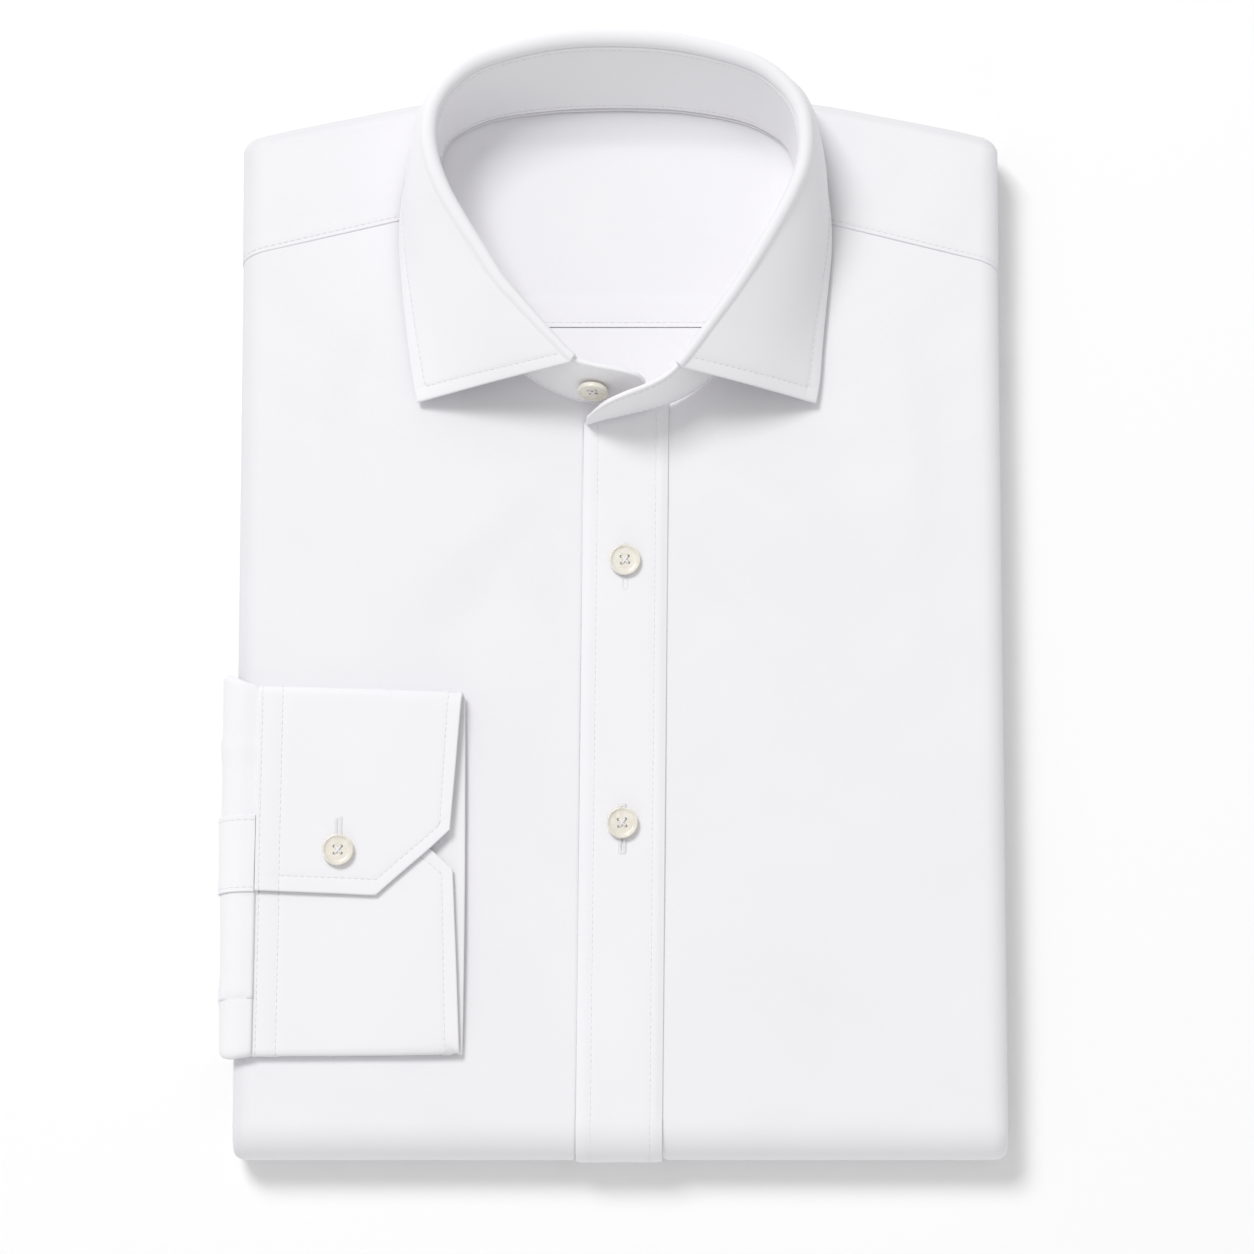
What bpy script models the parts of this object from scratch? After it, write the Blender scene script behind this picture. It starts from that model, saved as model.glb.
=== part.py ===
"""Folded dress shirt, front face up.

Frame: X to the viewer's right, Y towards the collar, Z up. The origin is on the resting surface,
under the centre line of the front, near mid-length. All sizes below are in millimetres.
The wearer's right front is on the viewer's left.
"""
import math

import bmesh
import bpy
from mathutils import Vector

MM = 0.001

# Folded body
THICK = 24.0
HALF_WIDTH = 134.0
BOTTOM_Y = -185.2
TOP_REACH = 6.0
TOP_ARC = 9.5
CLOTH = 1.2
SEAM_GAP = 0.3
CORE_INSET = 1.6
CORE_SIDE = 2.1
CORE_TOP_EXTRA = 2.1
SLIT_ANGLE = 150.0
HALF = THICK / 2.0
FOLD_Y = BOTTOM_Y + HALF
BOTTOM_ARC = math.pi * HALF

# Rolled side edges: how far in, and how deep, on the front, at the end folds and underneath
ROLL_FRONT = (7.0, 6.2)
ROLL_NOSE = (4.6, 3.5)
ROLL_UNDER = (5.2, 3.6)
ROLL_EASE = 26.0

# Top edge of the body: distance from the centre line, edge position
# columns: x, y
TOP_EDGE = [
    (0.0, 193.4),
    (45.0, 192.4),
    (67.0, 190.4),
    (98.0, 184.2),
    (121.0, 179.2),
    (134.0, 175.6),
]

# Front placket, on the left front
# columns: y, centre x
PLACKET_CENTRE = [
    (78.0, 2.1),
    (-180.0, -0.5),
]
PLACKET_HALF = 15.0
PLACKET_TOP = 74.5
PLACKET_PROUD = 1.5
STAND_UNDER = 21.0

# Tail on the underside
TAIL_CENTRE = 118.0
TAIL_SIDE = 88.0

# Angles of the rows round an end fold, and of the columns round a side edge
FOLD_STEPS = (0.0, 18.0, 36.0, 54.0, 72.0, 90.0)
SIDE_STEPS = (0.0, 30.0, 60.0, 90.0, 120.0, SLIT_ANGLE)

# Neckline and collar stand, from the button end round the back to the buttonhole end
# columns: seam x, seam y, seam z, top x, top y, top z
STAND = [
    (9.2, 81.0, 27.5, 8.8, 83.6, 43.0),
    (6.5, 80.9, 25.3, 6.0, 85.6, 47.6),
    (0.0, 80.6, 25.2, -1.0, 87.2, 49.6),
    (-8.0, 80.6, 25.1, -9.0, 88.6, 50.4),
    (-16.5, 82.0, 25.0, -15.8, 90.8, 50.8),
    (-25.0, 85.4, 24.9, -21.6, 96.4, 51.2),
    (-33.0, 90.4, 24.9, -27.6, 102.8, 51.6),
    (-41.5, 98.0, 24.9, -34.4, 110.4, 52.0),
    (-49.6, 108.6, 24.9, -41.2, 118.4, 52.6),
    (-56.2, 121.6, 24.9, -47.8, 128.8, 53.4),
    (-60.8, 136.0, 24.9, -54.4, 139.6, 54.0),
    (-63.7, 149.8, 25.0, -60.2, 150.4, 54.6),
    (-65.0, 160.0, 25.2, -63.8, 160.6, 55.0),
    (-64.6, 168.4, 25.2, -65.0, 170.2, 55.3),
    (-61.2, 175.6, 25.0, -63.4, 179.0, 55.5),
    (-54.0, 180.4, 25.0, -57.6, 187.4, 55.6),
    (-43.0, 184.4, 25.0, -46.6, 194.6, 55.8),
    (-22.0, 187.2, 25.0, -23.6, 200.4, 56.0),
    (0.0, 187.9, 25.0, 0.0, 201.6, 56.0),
    (21.0, 187.1, 25.0, 22.4, 199.6, 56.0),
    (41.6, 183.6, 25.0, 44.6, 193.6, 55.8),
    (52.4, 179.0, 25.0, 55.2, 186.4, 55.6),
    (59.2, 173.6, 25.0, 61.0, 178.0, 55.5),
    (62.4, 166.2, 25.2, 62.8, 168.8, 55.3),
    (62.8, 157.6, 25.2, 62.0, 159.0, 55.0),
    (61.8, 148.3, 25.0, 58.4, 149.0, 54.6),
    (59.4, 136.0, 24.9, 53.2, 138.6, 54.0),
    (55.0, 121.6, 24.9, 46.8, 127.0, 53.4),
    (48.6, 108.8, 24.9, 39.8, 115.6, 52.6),
    (40.8, 98.4, 24.9, 32.2, 104.8, 52.0),
    (32.6, 90.2, 25.1, 25.4, 95.4, 51.6),
    (24.8, 84.2, 25.6, 19.8, 88.4, 51.2),
    (17.0, 80.2, 26.4, 14.8, 84.0, 51.0),
    (8.4, 77.6, 26.9, 8.6, 80.8, 51.0),
    (1.0, 75.8, 26.9, 1.6, 78.2, 50.4),
    (-5.6, 74.4, 26.9, -5.4, 76.0, 46.4),
    (-9.4, 73.7, 28.4, -9.8, 74.4, 37.6),
]
STAND_WALL = 1.8
STAND_ROWS = 5
LEAF_WALL = 1.4
LEAF_FIRST = 4
LEAF_LAST = 31
ROLL_RADIUS = 2.1
ROLL_RISE = 2.0
YOKE_FIRST = 11
YOKE_LAST = 25
YOKE_PROUD = 0.4
YOKE_ROLL = 18.0
YOKE_BACK = 22.0
YOKE_POINTS = 15
# columns: x of the seam at the neck, y there, y at the side edge
YOKE_SEAM_LEFT = (-62.8, 150.2, 135.2)
YOKE_SEAM_RIGHT = (60.9, 148.7, 132.2)
SEAM_DROP = 3.6
# Lines across the yoke from the neck to its outer edge
# columns: stand row at the neck, kind of outer edge, share of the side, fold angle or distance out
YOKE_STATIONS = [
    (11.0, "side", 0.0),
    (11.6, "side", 0.3),
    (12.2, "side", 0.6),
    (12.8, "side", 0.88),
    (13.2, "fold", 22.0),
    (13.5, "fold", 54.0),
    (13.8, "fold", 90.0),
    (14.1, "fold", 126.0),
    (14.4, "fold", 162.0),
    (14.7, "fold", 200.0),
    (14.85, "corner", 139.0),
    (15.0, "back", 130.0),
    (15.4, "back", 114.0),
    (15.8, "back", 98.0),
    (16.3, "back", 67.0),
    (17.0, "back", 40.0),
    (18.0, "back", 0.0),
]

# Outer edge of the collar leaf, one row for each stand row from LEAF_FIRST to LEAF_LAST
# columns: x, y, z, bulge
LEAF_EDGE = [
    (-71.4, 79.9, 26.6, 1.6),
    (-72.4, 84.6, 26.2, 2.6),
    (-73.4, 91.0, 26.0, 3.2),
    (-74.6, 100.0, 26.0, 3.6),
    (-76.0, 112.0, 26.1, 3.8),
    (-77.2, 124.6, 26.2, 3.8),
    (-77.9, 137.4, 26.4, 3.8),
    (-77.4, 149.4, 26.8, 3.6),
    (-75.2, 160.4, 27.0, 3.2),
    (-72.2, 171.4, 27.0, 2.6),
    (-69.6, 181.4, 26.6, 2.2),
    (-66.4, 190.6, 24.0, 1.8),
    (-53.0, 196.6, 18.6, 1.4),
    (-25.0, 198.4, 15.6, 1.2),
    (0.0, 198.8, 15.0, 1.2),
    (24.0, 198.2, 15.6, 1.2),
    (51.0, 196.2, 18.6, 1.4),
    (64.2, 190.4, 24.0, 1.8),
    (67.2, 180.6, 26.6, 2.2),
    (69.6, 170.6, 27.0, 2.6),
    (72.2, 159.6, 27.0, 3.2),
    (73.9, 148.0, 26.8, 3.6),
    (74.2, 136.0, 26.4, 3.8),
    (73.2, 123.4, 26.2, 3.8),
    (72.0, 110.8, 26.1, 3.6),
    (71.0, 98.8, 26.0, 3.2),
    (70.2, 88.0, 26.2, 2.6),
    (68.8, 79.6, 26.6, 1.6),
]

# Hollow under the neck, cut into the folded layers
# columns: y, left x, right x, depth
RECESS = [
    (68.0, -16.0, 19.8, 3.4),
    (74.0, -22.0, 23.0, 4.6),
    (79.0, -29.0, 30.0, 4.6),
    (84.0, -35.5, 36.0, 4.6),
    (90.0, -42.0, 42.0, 4.6),
    (98.0, -49.0, 48.5, 4.6),
    (108.0, -55.6, 54.8, 4.6),
    (121.0, -62.0, 61.0, 4.6),
    (136.0, -67.0, 65.6, 4.6),
    (150.0, -69.8, 68.0, 4.6),
    (161.0, -71.0, 69.0, 4.6),
    (170.0, -70.6, 68.6, 4.6),
    (177.0, -66.0, 64.4, 4.6),
    (182.0, -59.0, 57.6, 4.6),
    (187.4, -46.0, 44.6, 4.7),
]

# Inner yoke and back, seen through the neck
# columns: y, left x, right x
NECK_FLOOR = [
    (77.0, -20.0, 21.0),
    (82.0, -28.0, 28.6),
    (88.0, -35.6, 35.6),
    (97.0, -44.4, 44.0),
    (108.2, -52.0, 51.2),
    (108.8, -52.4, 51.6),
    (122.0, -58.8, 57.8),
    (137.0, -63.6, 62.2),
    (151.0, -66.8, 65.0),
    (162.0, -68.0, 66.0),
    (170.0, -67.0, 65.0),
    (177.0, -61.6, 60.0),
    (182.0, -54.0, 52.6),
    (186.0, -43.0, 41.6),
]
NECK_SEAM_ROW = 5
FLOOR_DEPTH = 2.9
FLOOR_SAG = 0.35

# Cuff, a flattened ring, listed round the ring from the button end
# columns: y at the seam, y at the wrist edge, z at the seam, z at the wrist edge, wrist edge x
CUFF = [
    (-93.4, -72.4, 29.6, 30.9, -59.1),
    (-78.0, -62.0, 29.7, 31.1, -58.2),
    (-60.0, -50.0, 29.7, 31.2, -57.2),
    (-40.0, -37.0, 29.6, 31.1, -56.2),
    (-25.6, -27.4, 29.4, 30.7, -55.4),
    (-23.0, -25.0, 28.8, 29.8, -55.1),
    (-21.7, -23.9, 27.4, 28.0, -54.8),
    (-23.0, -25.2, 25.8, 26.0, -54.4),
    (-26.0, -28.0, 25.2, 25.3, -54.1),
    (-60.0, -60.0, 25.2, 25.3, -53.9),
    (-100.0, -100.0, 25.2, 25.3, -53.9),
    (-146.4, -145.6, 25.2, 25.3, -54.4),
    (-149.2, -148.4, 25.5, 25.7, -54.8),
    (-150.2, -149.6, 26.6, 26.9, -55.2),
    (-149.2, -148.4, 27.6, 28.1, -55.5),
    (-145.0, -144.0, 27.7, 28.6, -55.7),
    (-120.0, -120.0, 27.6, 28.9, -56.6),
    (-98.0, -99.0, 27.5, 28.9, -57.5),
    (-84.0, -92.0, 27.4, 28.8, -57.8),
    (-70.0, -86.0, 27.4, 28.8, -58.1),
]
CUFF_WALL = 1.2
# Shape of the two mitred ends along the cuff's depth
# columns: share of depth, share of the way from the seam to the wrist edge value
CUFF_MITRE = [
    (0.0, 0.0),
    (0.22, -0.03),
    (0.44, -0.06),
    (0.62, -0.09),
    (0.75, 0.28),
    (0.88, 0.64),
    (1.0, 1.0),
]
# columns: share of depth, share for the end that lies underneath
CUFF_MITRE_UNDER = [
    (0.0, 0.0),
    (0.22, 0.0),
    (0.44, 0.0),
    (0.62, 0.02),
    (0.75, 0.1),
    (0.88, 0.52),
    (1.0, 1.0),
]
CUFF_SEAM_TOP = -125.9
CUFF_SEAM_LOW = -127.4

# Sleeve, a flattened tube that comes from between the layers round the left edge
# columns: x, z, half distance between its two layers, top y, low y
SLEEVE = [
    (-127.0, 27.3, 1.55, -21.9, -150.0),
    (-130.6, 27.0, 1.5, -20.2, -150.8),
    (-134.2, 25.2, 1.4, -18.4, -151.2),
    (-136.6, 21.8, 1.35, -17.2, -150.6),
    (-137.4, 17.9, 1.3, -16.8, -149.2),
    (-136.5, 14.0, 1.2, -17.0, -148.6),
    (-134.0, 11.2, 1.0, -17.6, -148.6),
    (-130.6, 9.7, 0.85, -18.6, -148.8),
    (-122.0, 9.4, 0.8, -21.0, -148.8),
]
SLEEVE_WALL = 1.1
# Steps across the sleeve's outer layer: pleats and the two edges of its placket
# columns: y, raise on the upper side, raise on the lower side
SLEEVE_STEPS = [
    (-40.2, 0.0, 0.9),
    (-66.6, 0.1, 0.2),
    (-94.4, 0.2, 0.1),
    (-130.6, 0.9, 0.0),
]
GAUNTLET_TOP = -67.0
GAUNTLET_LOW = -93.8
GAUNTLET_WALL = 1.0

# Buttons
BUTTON_HOLE = 0.8
BUTTON_PITCH = 1.35
# columns: radius, height
BUTTON_PROFILE = [
    (0.0, 0.0),
    (4.3, 0.0),
    (5.5, 1.2),
    (4.9, 2.3),
    (4.2, 2.2),
    (3.4, 1.4),
    (0.0, 1.3),
]
FRONT_BUTTONS_Y = (23.6, -69.4)
COLLAR_BUTTON = (-9.6, 37.6)
CUFF_BUTTON = (-97.8, -79.6)

# Ridges of the folded layers along the side edges
RIDGES = 3
RIDGE_OUT = 1.5
RIDGE_IN = -0.8
SLEEVE_SLOT = 11.0

COLOURS = {
    "cloth": (0.87, 0.865, 0.88, 1.0),
    "inside": (0.84, 0.835, 0.85, 1.0),
    "button": (0.86, 0.83, 0.77, 1.0),
}


def along(table, value, column=1):
    """Value of a column at a position, straight between the rows of a table sorted by column 0."""
    rows = sorted(table)
    if value <= rows[0][0]:
        return rows[0][column]
    for low, high in zip(rows, rows[1:]):
        if value <= high[0]:
            share = (value - low[0]) / (high[0] - low[0])
            return low[column] + share * (high[column] - low[column])
    return rows[-1][column]


def ease(value):
    """Smooth step from 0 to 1."""
    value = min(max(value, 0.0), 1.0)
    return value * value * (3.0 - 2.0 * value)


def mix(first, second, share):
    return first + share * (second - first)


def top_line(x):
    """Where the flat front ends and the top fold begins."""
    return along(TOP_EDGE, abs(x)) - TOP_REACH


def rolls(t, x):
    """Reach and depth of the rolled side edge at a position along the cloth."""
    if t < FOLD_Y - HALF * math.pi / 2.0:
        share = ease((FOLD_Y - HALF * math.pi / 2.0 - t) / ROLL_EASE)
        return [mix(a, b, share) for a, b in zip(ROLL_NOSE, ROLL_UNDER)]
    top = top_line(x)
    if t > top + TOP_ARC * math.pi / 2.0:
        share = ease((t - top - TOP_ARC * math.pi / 2.0) / ROLL_EASE)
        return [mix(a, b, share) for a, b in zip(ROLL_NOSE, ROLL_UNDER)]
    share = ease(min(t - FOLD_Y + HALF * math.pi / 2.0, top + TOP_ARC * math.pi / 2.0 - t) / ROLL_EASE)
    return [mix(a, b, share) for a, b in zip(ROLL_NOSE, ROLL_FRONT)]


def place(x, t, depth):
    """Point at a depth below the outer face; t runs up the front and round both end folds."""
    if t < FOLD_Y:
        angle = (FOLD_Y - t) / HALF
        if angle <= math.pi:
            radius = HALF - depth
            return Vector((x, FOLD_Y - radius * math.sin(angle), HALF + radius * math.cos(angle)))
        return Vector((x, 2.0 * FOLD_Y - BOTTOM_ARC - t, depth))
    top = top_line(x)
    if t > top:
        angle = (t - top) / TOP_ARC
        if angle <= math.pi:
            reach = TOP_REACH - depth
            if depth > TOP_REACH / 2.0:
                reach = TOP_REACH / 2.0 * (HALF - depth) / (HALF - TOP_REACH / 2.0)
            return Vector((x, top + reach * math.sin(angle), HALF + (HALF - depth) * math.cos(angle)))
        return Vector((x, top - (t - top - math.pi * TOP_ARC), depth))
    return Vector((x, t, THICK - depth))


def under(y):
    """Position along the cloth of a point on the underside, past the bottom fold."""
    return 2.0 * FOLD_Y - BOTTOM_ARC - y


def across(side, t, angle, inset, width=HALF_WIDTH):
    """X and depth on a rolled side edge, at an angle from the flat, moved in by an inset."""
    reach, deep = rolls(t, side * width)
    start = width - reach
    x = start + (reach - inset) * math.sin(math.radians(angle))
    depth = inset + max(deep - inset, 0.3) * (1.0 - math.cos(math.radians(angle)))
    return side * x, depth


def flat_limit(t, x):
    return HALF_WIDTH - rolls(t, x)[0]


def sunk(t):
    """How far the placket sinks into the layers: 0 on the front, its full height underneath."""
    angle = (FOLD_Y - t) / HALF
    return PLACKET_PROUD * ease((angle - 0.9) / 1.5)


def placket_centre(t):
    y = t if t > FOLD_Y else max(FOLD_Y - 8.0, BOTTOM_Y)
    return along(PLACKET_CENTRE, y)


def mesh_object(name, verts, faces, kind, collection):
    mesh = bpy.data.meshes.new(name)
    mesh.from_pydata([tuple(v * MM for v in p) for p in verts], [], faces)
    mesh.validate()
    obj = bpy.data.objects.new(name, mesh)
    collection.objects.link(obj)
    material = bpy.data.materials.new(name)
    material.use_nodes = True
    shader = material.node_tree.nodes["Principled BSDF"]
    shader.inputs["Base Color"].default_value = COLOURS[kind]
    shader.inputs["Roughness"].default_value = 0.3 if kind == "button" else 0.85
    shader.inputs["Metallic"].default_value = 0.0
    obj.data.materials.append(material)
    return obj


def grid_faces(rows, cols, loop=False):
    faces = []
    for i in range(rows - 1):
        for j in range(cols if loop else cols - 1):
            k = (j + 1) % cols
            faces.append((i * cols + j, i * cols + k, (i + 1) * cols + k, (i + 1) * cols + j))
    return faces


def cloth_sheet(name, grid, wall, collection, kind="cloth", offset=-1.0, flip=False, loop=False):
    """Open surface through rows of points, given its wall by a Solidify modifier."""
    rows = len(grid)
    cols = len(grid[0])
    faces = grid_faces(rows, cols, loop)
    if flip:
        faces = [tuple(reversed(face)) for face in faces]
    obj = mesh_object(name, [p for row in grid for p in row], faces, kind, collection)
    obj.data.shade_smooth()
    solid = obj.modifiers.new("wall", "SOLIDIFY")
    solid.thickness = wall * MM
    solid.offset = offset
    solid.use_even_offset = True
    solid.use_quality_normals = True
    return obj


# Neckline

def neck_frame(index):
    """Seam point, outward direction in plan and top point of one stand row."""
    before = STAND[max(index - 1, 0)]
    after = STAND[min(index + 1, len(STAND) - 1)]
    row = STAND[index]
    tangent = Vector((after[0] - before[0], after[1] - before[1], 0.0)).normalized()
    outward = Vector((-tangent.y, tangent.x, 0.0))
    top_tangent = Vector((after[3] - before[3], after[4] - before[4], 0.0)).normalized()
    top_outward = Vector((-top_tangent.y, top_tangent.x, 0.0))
    return Vector(row[:3]), outward, Vector(row[3:6]), top_outward


def neck_edge(index, inward=0.9):
    """Edge of the cloth at the neck, level with the inner face of the stand."""
    seam, outward, _, _ = neck_frame(index)
    edge = seam - outward * inward
    return edge.x, edge.y


# Front panels

def front_rows(side):
    """Rows of a front panel from the tail to the yoke seam: inner t, outer t, inner x or None."""
    rows = []
    for share in (0.0, 0.1):
        rows.append((under(TAIL_CENTRE) + share * 60.0, under(TAIL_SIDE) + share * 44.0, None))
    for y in (60.0, -60.0, -145.0):
        rows.append((under(y), under(y), None))
    for angle in reversed(FOLD_STEPS[:-1]):
        rows.append((FOLD_Y - HALF * math.radians(180.0 - angle),) * 2 + (None,))
    rows.sort(key=lambda row: row[0])
    for angle in reversed(FOLD_STEPS):
        rows.append((FOLD_Y - HALF * math.radians(angle),) * 2 + (None,))
    for y in (-145.0, -60.0, 20.0, 56.0):
        rows.append((y, y, None))
    if side < 0.0:
        seam = [(8.0, 73.0), (-3.0, 78.6)] + [neck_edge(k) for k in range(4, YOKE_FIRST)]
        last = (-63.2, 149.6)
        ends = (134.7, 62.0)
    else:
        seam = [(-10.0, 72.0), (2.0, 74.6), (9.0, 76.8)]
        seam += [neck_edge(k) for k in range(32, YOKE_LAST, -1)]
        last = (61.3, 148.1)
        ends = (131.7, 62.0)
    seam.append(last)
    count = len(seam)
    for k, (x, y) in enumerate(seam):
        outer = ends[1] + (ends[0] - ends[1]) * (k / (count - 1.0)) ** 1.1
        rows.append((y, outer, x))
    return rows


def front_panel(name, side, collection):
    grid = []
    shares = (0.0, 0.35, 0.7, 1.0)
    for inner_t, outer_t, inner_x in front_rows(side):
        row = []
        low = sunk(inner_t)
        centre = placket_centre(inner_t)
        edge = centre + side * PLACKET_HALF
        if side < 0.0:
            heads = [(edge + STAND_UNDER, low + PLACKET_PROUD), (edge + 10.0, low + PLACKET_PROUD),
                     (edge + 1.0, low + PLACKET_PROUD), (edge - 0.4, low), (edge - 1.7, 0.0)]
        else:
            start = centre - PLACKET_HALF
            heads = [(start + 1.6, low), (start + 10.0, low), (centre + 6.0, low),
                     (edge + 0.4, low), (edge + 1.7, 0.0)]
        if inner_x is not None and (inner_x - edge) * side >= 0.0:
            heads = [(inner_x + side * 1.3 * n, 0.0) for n in range(5)]
        elif inner_x is not None and side < 0.0:
            heads = [(inner_x, PLACKET_PROUD), (mix(inner_x, edge + 1.0, 0.5), PLACKET_PROUD)] + heads[2:]
        elif inner_x is not None:
            heads = [(mix(inner_x, edge + 0.4, n / 3.0), 0.0) for n in range(3)] + heads[3:]
        limit = side * flat_limit(outer_t, side * HALF_WIDTH)
        for x, depth in heads:
            share = (x - heads[0][0]) / (limit - heads[0][0])
            row.append(place(x, mix(inner_t, outer_t, share), depth))
        first = heads[-1][0]
        for f in shares[1:]:
            x = mix(first, limit, f)
            share = (x - heads[0][0]) / (limit - heads[0][0])
            row.append(place(x, mix(inner_t, outer_t, share), 0.0))
        for angle in SIDE_STEPS[1:]:
            t = outer_t - SEAM_DROP * ease((outer_t - 100.0) / 32.0) * angle / 90.0
            x, depth = across(side, t, angle, 0.0)
            row.append(place(x, t, depth))
        grid.append(row)
    return cloth_sheet(name, grid, CLOTH, collection, flip=side < 0.0)


def placket(collection):
    """Strip down the left front, over the bottom fold and on underneath."""
    rows = [under(y) for y in (TAIL_CENTRE, 40.0, -60.0, -145.0)]
    rows += [FOLD_Y - HALF * math.radians(180.0 - angle) for angle in FOLD_STEPS[:-1]]
    rows += [FOLD_Y - HALF * math.radians(angle) for angle in reversed(FOLD_STEPS)]
    rows += [-145.0, -60.0, 20.0, PLACKET_TOP]
    grid = []
    for t in rows:
        centre = placket_centre(t)
        depth = sunk(t) - PLACKET_PROUD
        grid.append([place(centre + s * PLACKET_HALF, t, depth) for s in (-1.0, -0.5, 0.0, 0.5, 1.0)])
    return cloth_sheet("placket", grid, CLOTH, collection)


# Yoke

def neck_at(place_on_stand):
    """Edge of the cloth at the neck, between two stand rows."""
    index = int(place_on_stand)
    share = place_on_stand - index
    x0, y0 = neck_edge(index)
    x1, y1 = neck_edge(min(index + 1, len(STAND) - 1))
    return mix(x0, x1, share), mix(y0, y1, share)


def wrapped(side, reach, t, proud):
    """Point of the flat pattern laid on the body: reach is the distance out from the centre line."""
    start = flat_limit(t, side * HALF_WIDTH)
    if reach <= start:
        return place(side * reach, t, -proud)
    angle = SLIT_ANGLE * (reach - start) / YOKE_ROLL
    x, depth = across(side, t, angle, -proud)
    return place(x, t, depth)


def flat_share(x0, t0, x1, t1):
    """Share of a line across the yoke that lies on the flat, before either edge rolls over."""
    steps = 200
    for n in range(1, steps):
        x = mix(x0, x1, n / steps)
        t = mix(t0, t1, n / steps)
        if t > top_line(x) or x > flat_limit(t, HALF_WIDTH):
            return max(n - 1, 4) / steps
    return 0.5


def yoke(collection):
    """Shoulders and the strip behind the neck, over the top edge to the underside."""
    halves = []
    for side, seam in ((-1.0, YOKE_SEAM_LEFT), (1.0, YOKE_SEAM_RIGHT)):
        rows = []
        for number, (spot, kind, value) in enumerate(YOKE_STATIONS):
            index = spot if side < 0.0 else 36.0 - spot
            x0, y0 = neck_at(index)
            if number == 0:
                x0, y0 = seam[0], seam[1]
            top = top_line(HALF_WIDTH)
            if kind == "side":
                t1 = seam[2] + value * (top - seam[2])
                reach1 = flat_limit(t1, HALF_WIDTH) + YOKE_ROLL
            elif kind == "fold":
                t1 = top + TOP_ARC * math.radians(value)
                reach1 = flat_limit(t1, HALF_WIDTH) + YOKE_ROLL
            else:
                reach1 = value
                turn_back = YOKE_BACK if kind == "back" else YOKE_BACK * 0.6
                t1 = top_line(value) + TOP_ARC * math.pi + turn_back
            first = flat_share(abs(x0), y0, reach1, t1)
            row = []
            for n in range(YOKE_POINTS):
                if n < 3:
                    share = first * n / 2.0
                else:
                    share = mix(first, 1.0, (n - 2.0) / (YOKE_POINTS - 3.0))
                reach = mix(abs(x0), reach1, share)
                t = mix(y0, t1, share)
                if kind == "side":
                    turned = max(share - first, 0.0) / (1.0 - first) * SLIT_ANGLE / 90.0
                    t = mix(y0, t1, min(share / first, 1.0)) - SEAM_DROP * turned * ease(1.0 - value)
                row.append(wrapped(side, reach, t, YOKE_PROUD * (1.0 - ease((t - top_line(reach)) / 25.0))))
            rows.append(row)
        halves.append(rows)
    grid = halves[0] + list(reversed(halves[1][:-1]))
    return cloth_sheet("yoke", grid, CLOTH, collection, flip=True)


# Folded layers

def core_rows():
    """Rows of the upper half of the folded layers: t, share of the top slant, channel, depth."""
    rows = []
    for angle in reversed(FOLD_STEPS):
        rows.append(FOLD_Y - HALF * math.radians(angle))
    rows += [-165.0, -157.0, -110.0, -60.0, -13.0, -5.0, 30.0, 56.0]
    rows += [row[0] for row in RECESS]
    return rows


def slant(t, x):
    """Bend the rows near the collar so that they follow the sloping top edge."""
    share = ease((t - 110.0) / (top_line(0.0) - 110.0))
    return t - share * (top_line(0.0) - top_line(x))


def core_line(t, fold, lower):
    """One row of points across the folded layers, from the left slit to the right slit."""
    path = under(t) if lower else t
    if fold is not None and fold[0] == "bottom":
        path = FOLD_Y - HALF * math.radians(180.0 - fold[1] if lower else fold[1])
    centre = placket_centre(path)
    deep = CORE_INSET + PLACKET_PROUD + sunk(path)
    left = centre - PLACKET_HALF - 2.4
    right = centre + PLACKET_HALF + 2.4
    inner = 2.0
    if not lower and fold is None and t >= RECESS[0][0]:
        left = along(RECESS, t, 1)
        right = along(RECESS, t, 2)
        deep = along(RECESS, t, 3)
        inner = 3.0
    if fold is not None and fold[0] == "top":
        deep = CORE_INSET + 0.3
        left, right = -46.0, 44.6
        inner = 3.0
    extra = 0.0
    if fold is not None and fold[0] == "top":
        extra = CORE_TOP_EXTRA
    elif lower and fold is None:
        extra = CORE_TOP_EXTRA * ease((t - 125.0) / 25.0)
    points = []

    def put(x, depth):
        if fold is None:
            y = slant(t, x)
            if lower:
                points.append(place(x, under(y), depth))
            else:
                points.append(place(x, y, depth))
        elif fold[0] == "bottom":
            angle = math.radians(180.0 - fold[1] if lower else fold[1])
            points.append(place(x, FOLD_Y - HALF * angle, depth))
        else:
            angle = math.radians(180.0 - fold[1] if lower else fold[1])
            points.append(place(x, top_line(x) + TOP_ARC * angle, depth))

    for side in (-1.0, 1.0):
        if fold is None:
            roll_t = under(t) if lower else slant(t, side * HALF_WIDTH)
        elif fold[0] == "bottom":
            roll_t = FOLD_Y - HALF * math.radians(180.0 - fold[1] if lower else fold[1])
        else:
            roll_t = top_line(HALF_WIDTH) + TOP_ARC * math.radians(180.0 - fold[1] if lower else fold[1])
        reach = HALF_WIDTH - rolls(roll_t, side * HALF_WIDTH)[0]
        inset = CORE_SIDE + extra + (1.3 if fold is not None and fold[1] > 50.0 else 0.0)
        if lower and fold is None:
            inset += 1.0 * ease((t - 135.0) / 25.0)
        roll = [across(side, roll_t, angle, inset) for angle in SIDE_STEPS]
        edge = left if side < 0.0 else right
        flat = [(side * reach, CORE_INSET + extra), (mix(side * reach, edge, 0.5), CORE_INSET + extra),
                (edge, CORE_INSET + extra * 0.5), (edge - side * inner, deep)]
        if side < 0.0:
            for x, depth in reversed(roll[1:]):
                put(x, depth)
            for x, depth in flat:
                put(x, depth)
            put(mix(left, right, 0.5), deep)
        else:
            for x, depth in reversed(flat):
                put(x, depth)
            for x, depth in roll[1:]:
                put(x, depth)
    return points


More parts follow.
